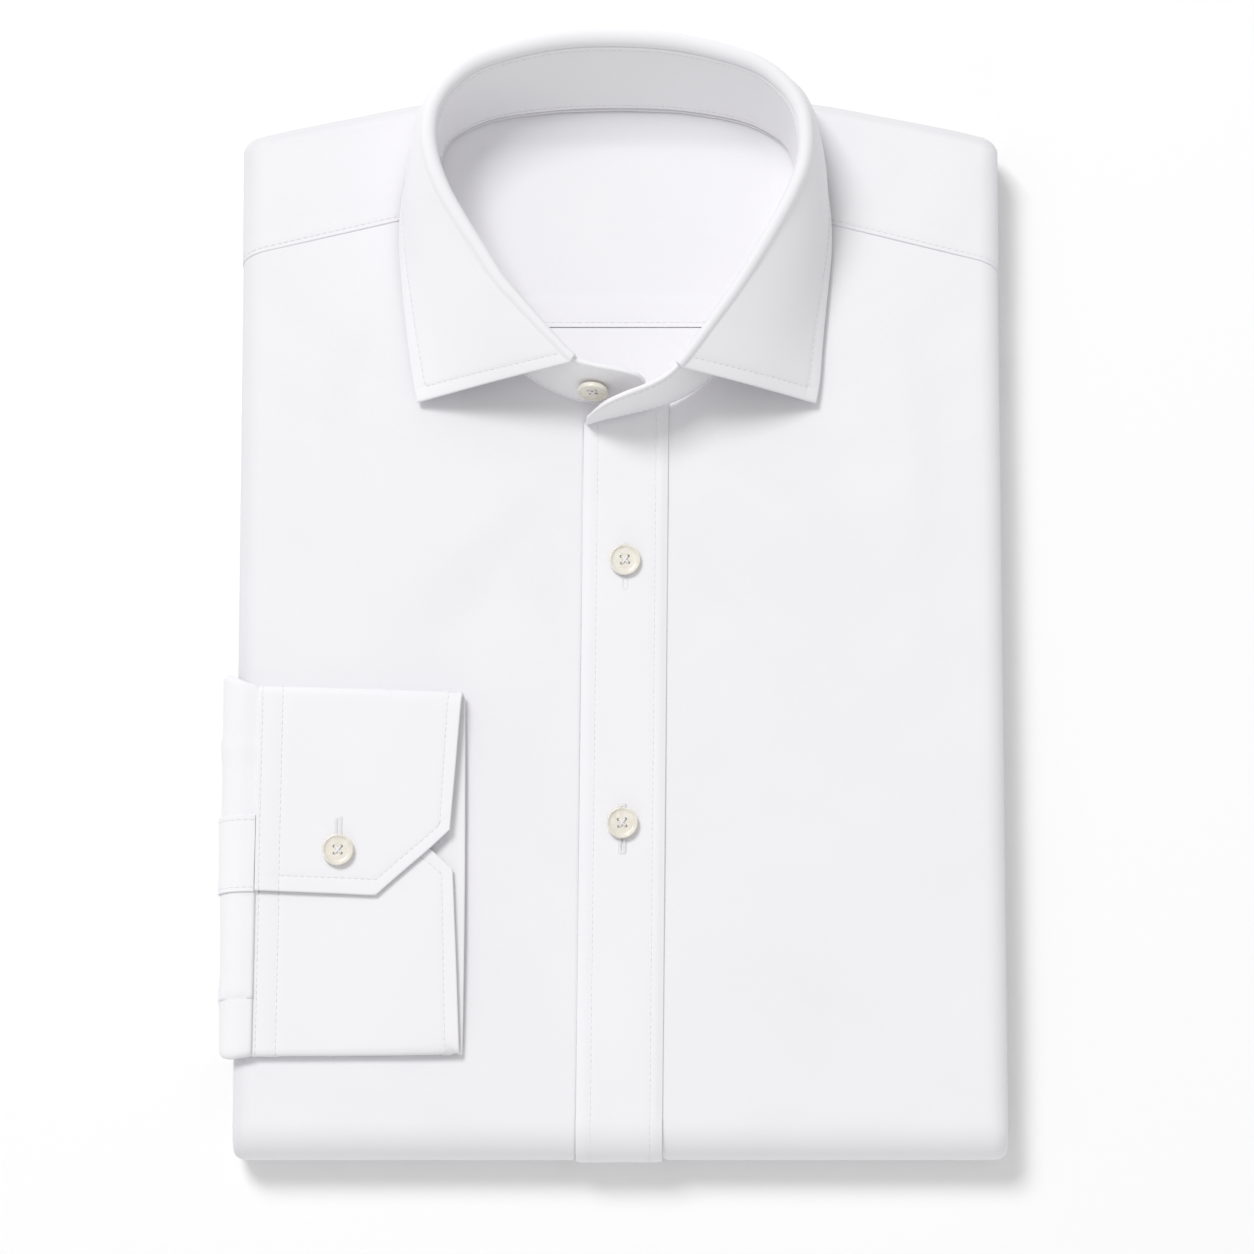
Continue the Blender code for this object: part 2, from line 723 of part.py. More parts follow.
def folded_layers(collection):
    """Back, tail and hidden sleeves, as one rounded solid with ridged side edges."""
    upper = []
    lower = []
    for angle in reversed(FOLD_STEPS):
        upper.append(core_line(FOLD_Y, ("bottom", angle), False))
        lower.append(core_line(FOLD_Y, ("bottom", angle), True))
    for t in core_rows()[len(FOLD_STEPS):]:
        upper.append(core_line(t, None, False))
        lower.append(core_line(t, None, True))
    for angle in FOLD_STEPS[1:]:
        upper.append(core_line(0.0, ("top", angle), False))
        lower.append(core_line(0.0, ("top", angle), True))
    cols = len(upper[0])
    count = len(upper)
    verts = []
    faces = []
    steps = 2 * RIDGES + 1
    ring = 2 * cols + 2 * steps
    for top, low in zip(upper, lower):
        verts += top
        verts += side_ridges(top[-1], low[-1], 1.0, steps)
        verts += list(reversed(low))
        verts += side_ridges(low[0], top[0], -1.0, steps)
    for i in range(count - 1):
        for j in range(ring):
            k = (j + 1) % ring
            faces.append((i * ring + j, i * ring + k, (i + 1) * ring + k, (i + 1) * ring + j))
    obj = mesh_object("folded_layers", verts, faces, "cloth", collection)
    bm = bmesh.new()
    bm.from_mesh(obj.data)
    bmesh.ops.remove_doubles(bm, verts=bm.verts, dist=0.00002)
    bmesh.ops.dissolve_degenerate(bm, edges=bm.edges, dist=0.00001)
    bmesh.ops.holes_fill(bm, edges=[edge for edge in bm.edges if edge.is_boundary])
    bmesh.ops.recalc_face_normals(bm, faces=bm.faces)
    bm.to_mesh(obj.data)
    bm.free()
    return obj


def side_ridges(start, end, side, steps):
    """Points down one side edge, in and out round each folded layer."""
    points = []
    height = (start - end).length
    room = ease((height - 2.5) / 2.0) * ease((start.y - FOLD_Y + 3.0) / 6.0)
    room *= mix(0.45, 1.0, ease((146.0 - start.y) / 14.0)) * ease((173.0 - start.y) / 6.0)
    slot = 0.0
    if side < 0.0:
        slot = SLEEVE_SLOT * ease((-6.0 - start.y) / 6.0) * ease((start.y + 168.0) / 8.0)
    for n in range(1, steps + 1):
        share = n / (steps + 1.0)
        push = (RIDGE_IN if n % 2 == 1 else RIDGE_OUT) * room * (0.0 if slot > 0.01 else 1.0)
        point = start.lerp(end, share)
        point.x += side * (push - slot)
        points.append(point)
    return points


# Neck floor

def floor_grid(first, last):
    grid = []
    for y, left, right in NECK_FLOOR[first:last]:
        row = []
        for n in range(9):
            share = n / 8.0
            sag = FLOOR_SAG * math.sin(math.pi * share)
            x = mix(left, right, share)
            row.append(Vector((x, slant(y, x), THICK - FLOOR_DEPTH - sag)))
        grid.append(row)
    return grid


def neck_floor(collection):
    cloth_sheet("back", floor_grid(0, NECK_SEAM_ROW), 1.0, collection, "inside")
    cloth_sheet("inner_yoke", floor_grid(NECK_SEAM_ROW, len(NECK_FLOOR)), 1.0, collection, "inside")


# Collar

def collar_stand(collection):
    grid = []
    for index in range(len(STAND)):
        seam, outward, top, _ = neck_frame(index)
        row = []
        for n in range(STAND_ROWS):
            share = n / (STAND_ROWS - 1.0)
            point = seam.lerp(top, share)
            point += outward * 0.8 * math.sin(math.pi * share)
            row.append(point)
        grid.append(row)
    return cloth_sheet("collar_stand", grid, STAND_WALL, collection, offset=0.0, flip=True)


def leaf_column(index):
    """Points from the top of the stand over the roll and down to the leaf's edge."""
    seam, _, top, outward = neck_frame(index)
    edge = LEAF_EDGE[index - LEAF_FIRST]
    end = Vector(edge[:3])
    rise = (top - seam).normalized()
    start = top + rise * (SEAM_GAP + 0.25)
    centre = start + rise * ROLL_RISE * 0.55 + outward * ROLL_RADIUS
    points = [start]
    for angle in (0.0, 45.0, 90.0, 135.0):
        a = math.radians(angle)
        points.append(centre - outward * ROLL_RADIUS * math.cos(a) + rise * ROLL_RADIUS * math.sin(a))
    base = centre + outward * ROLL_RADIUS * 1.05 - rise * 0.6
    span = end - base
    flat = Vector((span.x, span.y, 0.0))
    lift = span.cross(Vector((0.0, 0.0, 1.0)).cross(flat)).normalized()
    if lift.z < 0.0:
        lift = -lift
    for n in range(6):
        share = n / 5.0
        bow = edge[3] * math.sin(math.pi * share) * (1.0 - 0.3 * share)
        points.append(base + span * share + lift * bow)
    return points


def collar_leaf(collection):
    grid = [leaf_column(index) for index in range(LEAF_FIRST, LEAF_LAST + 1)]
    return cloth_sheet("collar_leaf", grid, LEAF_WALL, collection, offset=0.0, flip=True)


# Cuff and sleeve

def cuff_seam(y):
    """X of the seam between the cuff and the sleeve."""
    return mix(CUFF_SEAM_TOP, CUFF_SEAM_LOW, min(max((-21.0 - y) / 130.0, 0.0), 1.0))


def cuff(collection):
    grid = []
    last = len(CUFF) - 1
    for share, mitre in CUFF_MITRE:
        row = []
        for k, (y0, y1, z0, z1, wrist) in enumerate(CUFF):
            seam_x = cuff_seam(y0)
            x = mix(seam_x, wrist, share)
            y = mix(y0, y1, share)
            if k < 3:
                y = mix(mix(y0, y1, mitre), y, k / 3.0)
            if k > last - 3:
                y = mix(mix(y0, y1, along(CUFF_MITRE_UNDER, share)), y, (last - k) / 3.0)
            z = mix(z0, z1, share ** 1.3)
            row.append(Vector((x, y, z)))
        grid.append(row)
    return cloth_sheet("cuff", grid, CUFF_WALL, collection, offset=0.0)


def sleeve_step(y):
    """Height of the pleats on the sleeve's outer layer."""
    for line, above, below in SLEEVE_STEPS:
        if line < y <= line + 9.0:
            return above * (1.0 - (y - line) / 9.0)
        if line - 9.0 <= y <= line:
            return below * (1.0 - (line - y) / 9.0)
    return 0.0


def sleeve_frame(index):
    before = SLEEVE[max(index - 1, 0)]
    after = SLEEVE[min(index + 1, len(SLEEVE) - 1)]
    tangent = Vector((after[0] - before[0], 0.0, after[1] - before[1])).normalized()
    return Vector((tangent.z, 0.0, -tangent.x))


def sleeve_outer(index, y, raised=0.0):
    """Point of the sleeve's outer layer at a row and a distance along its width."""
    row = SLEEVE[index]
    out = sleeve_frame(index)
    fade = 1.0 if index < 6 else 0.25
    height = row[2] * sleeve_end(row, y) + sleeve_step(y) * fade + raised
    x = cuff_seam(y) - 0.6 if index == 0 else row[0]
    return Vector((x, y, row[1])) + out * height


def sleeve_end(row, y):
    """Rounding of the tube where its two layers meet."""
    reach = min(max(min(row[3] - y, y - row[4]) / 1.8, 0.0), 1.0)
    return math.sqrt(1.0 - (1.0 - reach) ** 2)


def sleeve_lines():
    """Positions across the sleeve's width, as shares from top to low edge."""
    rows = SLEEVE[0]
    lines = [0.6, 2.0, 6.0]
    for line, above, below in SLEEVE_STEPS:
        lines += [rows[3] - (line + 0.4), rows[3] - (line - 0.4)]
    lines += [26.0, 58.0, 86.0, 98.0, 118.0]
    width = rows[3] - rows[4]
    lines += [width - 6.0, width - 2.0, width - 0.6]
    return sorted(value / width for value in lines)


def sleeve(collection):
    grid = []
    shares = sleeve_lines()
    for index, row in enumerate(SLEEVE):
        out = sleeve_frame(index)
        ring = [sleeve_outer(index, row[3])]
        for share in shares:
            y = mix(row[3], row[4], share)
            ring.append(sleeve_outer(index, y))
        ring.append(sleeve_outer(index, row[4]))
        for share in reversed(shares[::3]):
            y = mix(row[3], row[4], share)
            x = cuff_seam(y) - 0.6 if index == 0 else row[0]
            ring.append(Vector((x, y, row[1])) - out * row[2] * sleeve_end(row, y))
        grid.append(ring)
    return cloth_sheet("sleeve", grid, SLEEVE_WALL, collection, offset=0.0, loop=True)


def sleeve_placket(collection):
    grid = []
    for index in range(len(SLEEVE) - 2):
        row = []
        for n in range(5):
            y = mix(GAUNTLET_TOP, GAUNTLET_LOW, n / 4.0)
            row.append(sleeve_outer(index, y, SLEEVE_WALL / 2.0 + 0.45 + GAUNTLET_WALL))
        grid.append(row)
    return cloth_sheet("sleeve_placket", grid, GAUNTLET_WALL, collection, flip=True)


# Buttons

def button(name, spot, normal, collection):
    """Turned button with a raised rim and four holes, standing on a point of the cloth."""
    mesh = bpy.data.meshes.new(name + "_profile")
    verts = [(r * MM, 0.0, h * MM) for r, h in reversed(BUTTON_PROFILE)]
    mesh.from_pydata(verts, [(n, n + 1) for n in range(len(verts) - 1)], [])
    body = bpy.data.objects.new(name, mesh)
    collection.objects.link(body)
    screw = body.modifiers.new("turn", "SCREW")
    screw.steps = 16
    screw.render_steps = 16
    screw.use_merge_vertices = True
    screw.merge_threshold = 0.00005
    material = bpy.data.materials.new(name)
    material.use_nodes = True
    shader = material.node_tree.nodes["Principled BSDF"]
    shader.inputs["Base Color"].default_value = COLOURS["button"]
    shader.inputs["Roughness"].default_value = 0.3
    body.data.materials.append(material)
    body.location = Vector(spot) * MM
    body.rotation_mode = "QUATERNION"
    body.rotation_quaternion = Vector((0.0, 0.0, 1.0)).rotation_difference(Vector(normal))
    for n in range(4):
        angle = math.radians(45.0 + 90.0 * n)
        bpy.ops.mesh.primitive_cylinder_add(vertices=6, radius=BUTTON_HOLE * MM, depth=12.0 * MM)
        cutter = bpy.context.object
        cutter.name = name + "_hole_" + str(n + 1)
        cutter.location = (BUTTON_PITCH * MM * math.cos(angle), BUTTON_PITCH * MM * math.sin(angle), 0.0)
        cutter.parent = body
        cutter.hide_render = True
        cutter.display_type = "WIRE"
        for home in list(cutter.users_collection):
            home.objects.unlink(cutter)
        bpy.data.collections["cutters"].objects.link(cutter)
        cut = body.modifiers.new("hole_" + str(n + 1), "BOOLEAN")
        cut.operation = "DIFFERENCE"
        cut.object = cutter
    return body


def buttons(collection):
    for n, y in enumerate(FRONT_BUTTONS_Y):
        spot = (placket_centre(y), y, THICK + PLACKET_PROUD + 0.35)
        button("button_front_" + str(n + 1), spot, (0.0, 0.0, 1.0), collection)
    spot = (CUFF_BUTTON[0], CUFF_BUTTON[1], 31.1)
    button("button_cuff", spot, (-0.02, 0.0, 1.0), collection)
    seam, outward, top, _ = neck_frame(3)
    rise = (top - seam).normalized()
    normal = outward.cross(rise).cross(rise) * -1.0
    normal.normalize()
    if normal.y > 0.0:
        normal = -normal
    share = (COLLAR_BUTTON[1] - seam.z) / (top.z - seam.z)
    spot = seam.lerp(top, share) + normal * (STAND_WALL / 2.0 + 0.8 + 0.4)
    spot.x = COLLAR_BUTTON[0]
    button("button_collar", tuple(spot), tuple(normal), collection)


def main():
    for obj in list(bpy.data.objects):
        bpy.data.objects.remove(obj, do_unlink=True)
    collection = bpy.data.collections.new("folded_dress_shirt")
    bpy.context.scene.collection.children.link(collection)
    cutters = bpy.data.collections.new("cutters")
    bpy.context.scene.collection.children.link(cutters)
    folded_layers(collection)
    front_panel("right_front", -1.0, collection)
    front_panel("left_front", 1.0, collection)
    placket(collection)
    yoke(collection)
    neck_floor(collection)
    collar_stand(collection)
    collar_leaf(collection)
    cuff(collection)
    sleeve(collection)
    sleeve_placket(collection)
    buttons(collection)


main()
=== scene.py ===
"""Looks of the folded dress shirt: thin cloth shells with seams, stitching, buttonholes and creases.

Frame: X to the viewer's right, Y towards the collar, Z up, metres. Tables and functions below work in
millimetres and repeat the sizes of the solids; meshes are scaled to metres where they are made.
"""

import math

import bmesh
import bpy
from mathutils import Matrix, Vector


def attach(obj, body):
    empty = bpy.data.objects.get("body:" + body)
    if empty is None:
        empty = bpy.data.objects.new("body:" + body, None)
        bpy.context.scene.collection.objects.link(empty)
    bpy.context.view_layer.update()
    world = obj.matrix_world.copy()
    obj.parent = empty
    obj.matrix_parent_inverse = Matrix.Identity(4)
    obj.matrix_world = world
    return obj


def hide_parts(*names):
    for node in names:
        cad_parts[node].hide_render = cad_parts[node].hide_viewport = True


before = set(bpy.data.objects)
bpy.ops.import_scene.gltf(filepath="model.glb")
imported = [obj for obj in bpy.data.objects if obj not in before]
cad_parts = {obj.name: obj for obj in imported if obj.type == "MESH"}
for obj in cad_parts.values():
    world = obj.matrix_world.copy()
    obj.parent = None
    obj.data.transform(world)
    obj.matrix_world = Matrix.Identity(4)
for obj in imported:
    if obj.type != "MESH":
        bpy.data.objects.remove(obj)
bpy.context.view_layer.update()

MM = 0.001
UP = Vector((0.0, 0.0, 1.0))

# Folded body
THICK = 24.0
HALF = THICK / 2.0
HALF_WIDTH = 134.0
BOTTOM_Y = -185.2
FOLD_Y = BOTTOM_Y + HALF
BOTTOM_ARC = math.pi * HALF
TOP_REACH = 6.0
TOP_ARC = 9.5
SLIT_ANGLE = 150.0
SIDE_ROLL = 18.0
CORE_DEPTH = 1.6

# Rolled side edges: how far in, and how deep, on the front, at the end folds and underneath
ROLL_FRONT = (7.0, 6.2)
ROLL_NOSE = (4.6, 3.5)
ROLL_UNDER = (5.2, 3.6)
ROLL_EASE = 26.0

# Top edge of the body
# columns: x, y
TOP_EDGE = [
    (0.0, 193.4),
    (45.0, 192.4),
    (67.0, 191.8),
    (98.0, 186.0),
    (121.0, 181.2),
    (134.0, 177.8),
]

# Front placket
# columns: y, centre x
PLACKET_CENTRE = [
    (78.0, 2.1),
    (-180.0, -0.5),
]
PLACKET_HALF = 15.0
PLACKET_TOP = 74.5
PLACKET_PROUD = 1.5
# Height of the ridge of the right front along the placket's left edge
EDGE_RIDGE = 0.36
# End of the placket at the collar: distance from its centre line, y
PLACKET_END = [(-15.0, 73.0), (-11.5, 73.9), (-7.7, 74.8), (-1.1, 76.3), (6.3, 78.2), (15.0, 80.8)]
PLACKET_STITCH_LEFT = 5.0
PLACKET_STITCH_RIGHT = 4.5
# Walls of the cloth
PLACKET_WALL = 0.8
FRONT_WALL = 0.75
YOKE_WALL = 0.8
INNER_WALL = 0.7
# Share of the relief that is left on the underside
UNDER_FADE = 0.6
# Stitch lines, distances in from the edge
YOKE_STITCH = 1.7
LEAF_STITCH = 4.9
STAND_STITCH = 1.8
CUFF_STITCH = 5.6
CUFF_SEAM_STITCHES = (1.4, 8.4)
GAUNTLET_STITCH = 1.6
HEM_STITCHES = (1.4, 7.6)
# How far the right front runs in under the placket, and the folded-under tail's edge: y at both ends
STAND_UNDER = 21.0
TAIL_CENTRE = 118.0
TAIL_SIDE = 88.0
# Where the rows of the tail have levelled out
TAIL_LEVEL = 60.0
# Where the rows of the fronts start to slope towards the yoke seam, at the placket and at the side
CHEST_Y = 56.0
SIDE_Y = 62.0

# Neckline and collar stand, from the button end round the back to the buttonhole end
# columns: seam x, seam y, seam z, top x, top y, top z
STAND = [
    (9.2, 81.0, 27.5, 8.8, 83.6, 43.0),
    (6.5, 80.9, 25.3, 6.0, 85.6, 47.6),
    (0.0, 80.6, 25.2, -1.0, 87.2, 49.6),
    (-8.0, 80.6, 25.1, -9.0, 88.6, 50.4),
    (-16.5, 82.0, 25.0, -15.8, 90.8, 50.8),
    (-25.0, 85.4, 24.9, -21.6, 96.4, 51.2),
    (-33.0, 90.4, 24.9, -27.6, 102.8, 51.6),
    (-41.5, 98.0, 24.9, -34.4, 110.4, 52.0),
    (-49.6, 108.6, 24.9, -41.2, 118.4, 52.6),
    (-56.2, 121.6, 24.9, -47.8, 128.8, 53.4),
    (-60.8, 136.0, 24.9, -54.4, 139.6, 54.0),
    (-63.7, 149.8, 25.0, -60.2, 150.4, 54.6),
    (-65.0, 160.0, 25.2, -63.8, 160.6, 55.0),
    (-64.6, 168.4, 25.2, -65.0, 170.2, 55.3),
    (-61.2, 175.6, 25.0, -63.4, 179.0, 55.5),
    (-54.0, 180.4, 25.0, -57.6, 187.4, 55.6),
    (-43.0, 184.4, 25.0, -46.6, 194.6, 55.8),
    (-22.0, 187.2, 25.0, -23.6, 200.4, 56.0),
    (0.0, 187.9, 25.0, 0.0, 201.6, 56.0),
    (21.0, 187.1, 25.0, 22.4, 199.6, 56.0),
    (41.6, 183.6, 25.0, 44.6, 193.6, 55.8),
    (52.4, 179.0, 25.0, 55.2, 186.4, 55.6),
    (59.2, 173.6, 25.0, 61.0, 178.0, 55.5),
    (62.4, 166.2, 25.2, 62.8, 168.8, 55.3),
    (62.8, 157.6, 25.2, 62.0, 159.0, 55.0),
    (61.8, 148.3, 25.0, 58.4, 149.0, 54.6),
    (59.4, 136.0, 24.9, 53.2, 138.6, 54.0),
    (55.0, 121.6, 24.9, 46.8, 127.0, 53.4),
    (48.6, 108.8, 24.9, 39.8, 115.6, 52.6),
    (40.8, 98.4, 24.9, 32.2, 104.8, 52.0),
    (32.6, 90.2, 25.1, 25.4, 95.4, 51.6),
    (24.8, 84.2, 25.6, 19.8, 88.4, 51.2),
    (17.0, 80.2, 26.4, 14.8, 84.0, 51.0),
    (8.4, 77.6, 26.9, 8.6, 80.8, 51.0),
    (1.0, 75.8, 26.9, 1.6, 78.2, 50.4),
    (-5.6, 74.4, 26.7, -5.4, 76.2, 44.6),
    (-12.3, 72.7, 26.5, -11.6, 74.0, 32.6),
]
STAND_WALL = 1.7
STAND_BOW = 0.8
LEAF_WALL = 1.4
LEAF_FIRST = 4
LEAF_LAST = 31
# Roll of the leaf over the stand: radius at the back, radius at the front ends, rise, start above the stand
ROLL_RADIUS = 2.1
ROLL_TIGHT = 0.95
ROLL_RISE = 2.0
LEAF_START = 0.12

# Outer edge of the collar leaf, one row for each stand row from LEAF_FIRST to LEAF_LAST
# columns: x, y, z, bulge
LEAF_EDGE = [
    (-71.4, 79.9, 26.6, 1.6),
    (-72.4, 84.6, 26.2, 2.6),
    (-73.4, 91.0, 26.0, 3.2),
    (-74.6, 100.0, 26.0, 3.6),
    (-76.0, 112.0, 26.1, 3.8),
    (-77.2, 124.6, 26.2, 3.8),
    (-77.9, 137.4, 26.4, 3.8),
    (-77.4, 149.4, 26.8, 3.6),
    (-75.2, 160.4, 27.0, 3.2),
    (-72.2, 171.4, 27.0, 2.6),
    (-69.6, 181.4, 26.6, 2.2),
    (-66.4, 190.6, 24.0, 1.8),
    (-53.0, 196.6, 18.6, 1.4),
    (-25.0, 198.4, 15.6, 1.2),
    (0.0, 198.8, 15.0, 1.2),
    (24.0, 198.2, 15.6, 1.2),
    (51.0, 196.2, 18.6, 1.4),
    (64.2, 190.4, 24.0, 1.8),
    (67.2, 180.6, 26.6, 2.2),
    (69.6, 170.6, 27.0, 2.6),
    (72.2, 159.6, 27.0, 3.2),
    (73.9, 148.0, 26.8, 3.6),
    (74.2, 136.0, 26.4, 3.8),
    (73.2, 123.4, 26.2, 3.8),
    (72.0, 110.8, 26.1, 3.6),
    (71.0, 98.8, 26.0, 3.2),
    (70.2, 88.0, 26.2, 2.6),
    (68.8, 79.6, 26.6, 1.6),
]

# Yoke: lines across it from the neck to its outer edge
# columns: stand row at the neck, kind of outer edge, share of the side, fold angle or distance out
YOKE_STATIONS = [
    (11.0, "side", 0.0),
    (11.6, "side", 0.3),
    (12.2, "side", 0.6),
    (12.8, "side", 0.88),
    (13.2, "fold", 22.0),
    (13.5, "fold", 54.0),
    (13.8, "fold", 90.0),
    (14.1, "fold", 126.0),
    (14.4, "fold", 162.0),
    (14.7, "fold", 200.0),
    (14.85, "corner", 139.0),
    (15.0, "back", 130.0),
    (15.4, "back", 114.0),
    (15.8, "back", 98.0),
    (16.3, "back", 67.0),
    (17.0, "back", 40.0),
    (18.0, "back", 0.0),
]
YOKE_PROUD = 0.4
YOKE_BACK = 22.0
# columns: x of the seam at the neck, y there, y at the side edge
YOKE_SEAM_LEFT = (-62.8, 150.2, 135.2)
YOKE_SEAM_RIGHT = (60.9, 148.7, 132.2)
SEAM_DROP = 3.6
# How the fronts run on under the yoke: distance past the seam, depth
YOKE_TUCK = [(0.35, 0.03), (0.7, 0.22), (1.1, 0.5), (2.9, 0.55)]

# Hollow under the neck
# columns: y, left x, right x, depth
RECESS = [
    (68.0, -16.0, 19.8, 3.4),
    (74.0, -22.0, 23.0, 4.6),
    (79.0, -29.0, 30.0, 4.6),
    (84.0, -35.5, 36.0, 4.6),
    (90.0, -42.0, 42.0, 4.6),
    (98.0, -49.0, 48.5, 4.6),
    (108.0, -55.6, 54.8, 4.6),
    (121.0, -62.0, 61.0, 4.6),
    (136.0, -67.0, 65.6, 4.6),
    (150.0, -69.8, 68.0, 4.6),
    (161.0, -71.0, 69.0, 4.6),
    (170.0, -70.6, 68.6, 4.6),
    (177.0, -66.0, 64.4, 4.6),
    (182.0, -59.0, 57.6, 4.6),
    (187.4, -46.0, 44.6, 4.7),
]
# Inner yoke and back, seen through the neck
# columns: y, left x, right x
NECK_FLOOR = [
    (77.0, -20.0, 21.0),
    (82.0, -28.0, 28.6),
    (88.0, -35.6, 35.6),
    (97.0, -44.4, 44.0),
    (108.5, -52.2, 51.4),
    (122.0, -58.8, 57.8),
    (137.0, -63.6, 62.2),
    (151.0, -66.8, 65.0),
    (162.0, -68.0, 66.0),
    (170.0, -67.0, 65.0),
    (177.0, -61.6, 60.0),
    (182.0, -54.0, 52.6),
    (186.0, -43.0, 41.6),
    (187.6, -37.5, 36.3),
]
NECK_SEAM_Y = 108.5
# Depth below the front, sag in the middle, rise at the edge
FLOOR_DEPTH = 2.9
FLOOR_SAG = 0.35
FLOOR_RISE = 2.2

# Cuff, a flattened ring, listed round the ring from the button end
# columns: y at the seam, y at the wrist edge, z at the seam, z at the wrist edge, wrist edge x
CUFF = [
    (-93.4, -72.4, 29.6, 30.9, -59.1),
    (-78.0, -62.0, 29.7, 31.1, -58.2),
    (-60.0, -50.0, 29.7, 31.2, -57.2),
    (-40.0, -37.0, 29.6, 31.1, -56.2),
    (-25.6, -27.4, 29.4, 30.7, -55.4),
    (-23.0, -25.0, 28.8, 29.8, -55.1),
    (-21.7, -23.9, 27.4, 28.0, -54.8),
    (-23.0, -25.2, 25.8, 26.5, -54.4),
    (-26.0, -28.0, 25.2, 26.2, -54.1),
    (-60.0, -60.0, 25.2, 26.7, -53.9),
    (-100.0, -100.0, 25.2, 26.6, -53.9),
    (-146.4, -145.6, 25.2, 26.0, -54.4),
    (-149.2, -148.4, 25.5, 26.1, -54.8),
    (-150.2, -149.6, 26.6, 26.9, -55.2),
    (-149.2, -148.4, 27.6, 28.1, -55.5),
    (-145.0, -144.0, 27.7, 28.6, -55.7),
    (-120.0, -120.0, 27.6, 28.9, -56.6),
    (-98.0, -99.0, 27.5, 28.9, -57.5),
    (-84.0, -92.0, 27.4, 28.8, -57.8),
    (-70.0, -86.0, 27.4, 28.8, -58.1),
]
CUFF_WALL = 1.15
# columns: share of depth, share of the way from the seam to the wrist edge value
CUFF_MITRE = [
    (0.0, 0.0),
    (0.22, -0.03),
    (0.44, -0.06),
    (0.62, -0.09),
    (0.75, 0.28),
    (0.88, 0.64),
    (1.0, 1.0),
]
# columns: share of depth, share for the end that lies underneath
CUFF_MITRE_UNDER = [
    (0.0, 0.0),
    (0.22, 0.0),
    (0.44, 0.0),
    (0.62, 0.02),
    (0.75, 0.1),
    (0.88, 0.52),
    (1.0, 1.0),
]
CUFF_SEAM_TOP = -125.9
CUFF_SEAM_LOW = -127.4
CUFF_SEAM_START = -21.0
CUFF_SEAM_RUN = 130.0

# Sleeve, a flattened tube that comes from between the layers round the left edge
# columns: x, z, half distance between its two layers, top y, low y
SLEEVE = [
    (-127.0, 27.3, 1.55, -21.9, -150.0),
    (-130.6, 27.0, 1.5, -20.2, -150.8),
    (-134.2, 25.2, 1.4, -18.4, -151.2),
    (-136.6, 21.8, 1.35, -17.2, -150.6),
    (-137.4, 17.9, 1.3, -16.8, -149.2),
    (-136.5, 14.0, 1.2, -17.0, -148.6),
    (-134.0, 11.2, 1.0, -17.6, -148.6),
    (-130.6, 9.7, 0.85, -18.6, -148.8),
    (-122.0, 9.4, 0.8, -21.0, -148.8),
]
SLEEVE_WALL = 0.9
# Pleats and the two edges of the sleeve's placket
# columns: y, raise on the upper side, raise on the lower side
SLEEVE_STEPS = [
    (-40.2, 0.0, 0.6),
    (-66.6, 0.1, 0.2),
    (-94.4, 0.2, 0.1),
    (-130.6, 0.5, 0.0),
]
STEP_RUN = 9.0
# How far the sleeve goes into the cuff, between which y, and its heights there below and above the lap
SLEEVE_TUCK = 1.4
SLEEVE_TUCK_LOW = -148.4
SLEEVE_TUCK_TOP = -23.8
TUCK_HEIGHTS = (26.45, 28.45)
SLEEVE_LOW_HEIGHT = 27.95
GAUNTLET_TOP = -67.0
GAUNTLET_LOW = -93.8
GAUNTLET_WALL = 0.7

# Buttons
FRONT_BUTTONS_Y = (23.6, -69.4)
COLLAR_BUTTON = (-9.6, 37.6)
CUFF_BUTTON = (-97.8, -79.6, 31.1)
COLLAR_BUTTON_ROW = 3.0
COLLAR_BUTTON_OUT = 2.1
BUTTON_SEAT = 0.1
BUTTON_HOLE = 0.5
BUTTON_PITCH = 1.78
HOLE_DEPTH = 1.8
HOLE_HEIGHT = 1.5
THREAD_HEIGHT = 1.68
THREAD_RADIUS = 0.13
# columns: radius, height
BUTTON_PROFILE = [
    (0.0, 0.0),
    (4.2, 0.0),
    (5.0, 0.15),
    (5.35, 0.6),
    (5.48, 1.2),
    (5.5, 1.6),
    (5.42, 1.95),
    (5.2, 2.2),
    (4.98, 2.26),
    (4.78, 2.16),
    (4.58, 1.92),
    (4.34, 1.7),
    (4.0, 1.6),
    (3.2, 1.58),
    (0.0, 1.5),
]

# Gain on the heights of all creases
CREASE_GAIN = 3.0
# Soft creases on the front and round both folds
# columns: x, y, x, y, half width, height (a trough is below zero)
FRONT_CREASES = [
    (-18.0, 62.0, -92.0, 4.0, 11.0, 0.26),
    (-24.0, 40.0, -70.0, -14.0, 9.0, -0.2),
    (-20.0, 8.0, -48.0, 44.0, 7.0, 0.16),
    (-100.0, 118.0, -112.0, 30.0, 10.0, 0.2),
    (-84.0, 118.0, -96.0, 64.0, 8.0, -0.16),
    (22.0, 60.0, 96.0, 10.0, 12.0, 0.24),
    (26.0, 36.0, 74.0, -24.0, 9.0, -0.16),
    (92.0, 112.0, 110.0, 20.0, 11.0, 0.22),
    (112.0, 90.0, 118.0, -40.0, 8.0, -0.18),
    (40.0, -40.0, 120.0, -92.0, 16.0, 0.18),
    (-40.0, -20.0, -52.0, -110.0, 9.0, 0.14),
    (30.0, -118.0, 104.0, -150.0, 11.0, -0.16),
    (-110.0, -160.0, -30.0, -166.0, 7.0, 0.14),
    (36.0, -170.0, 118.0, -164.0, 6.0, 0.14),
]
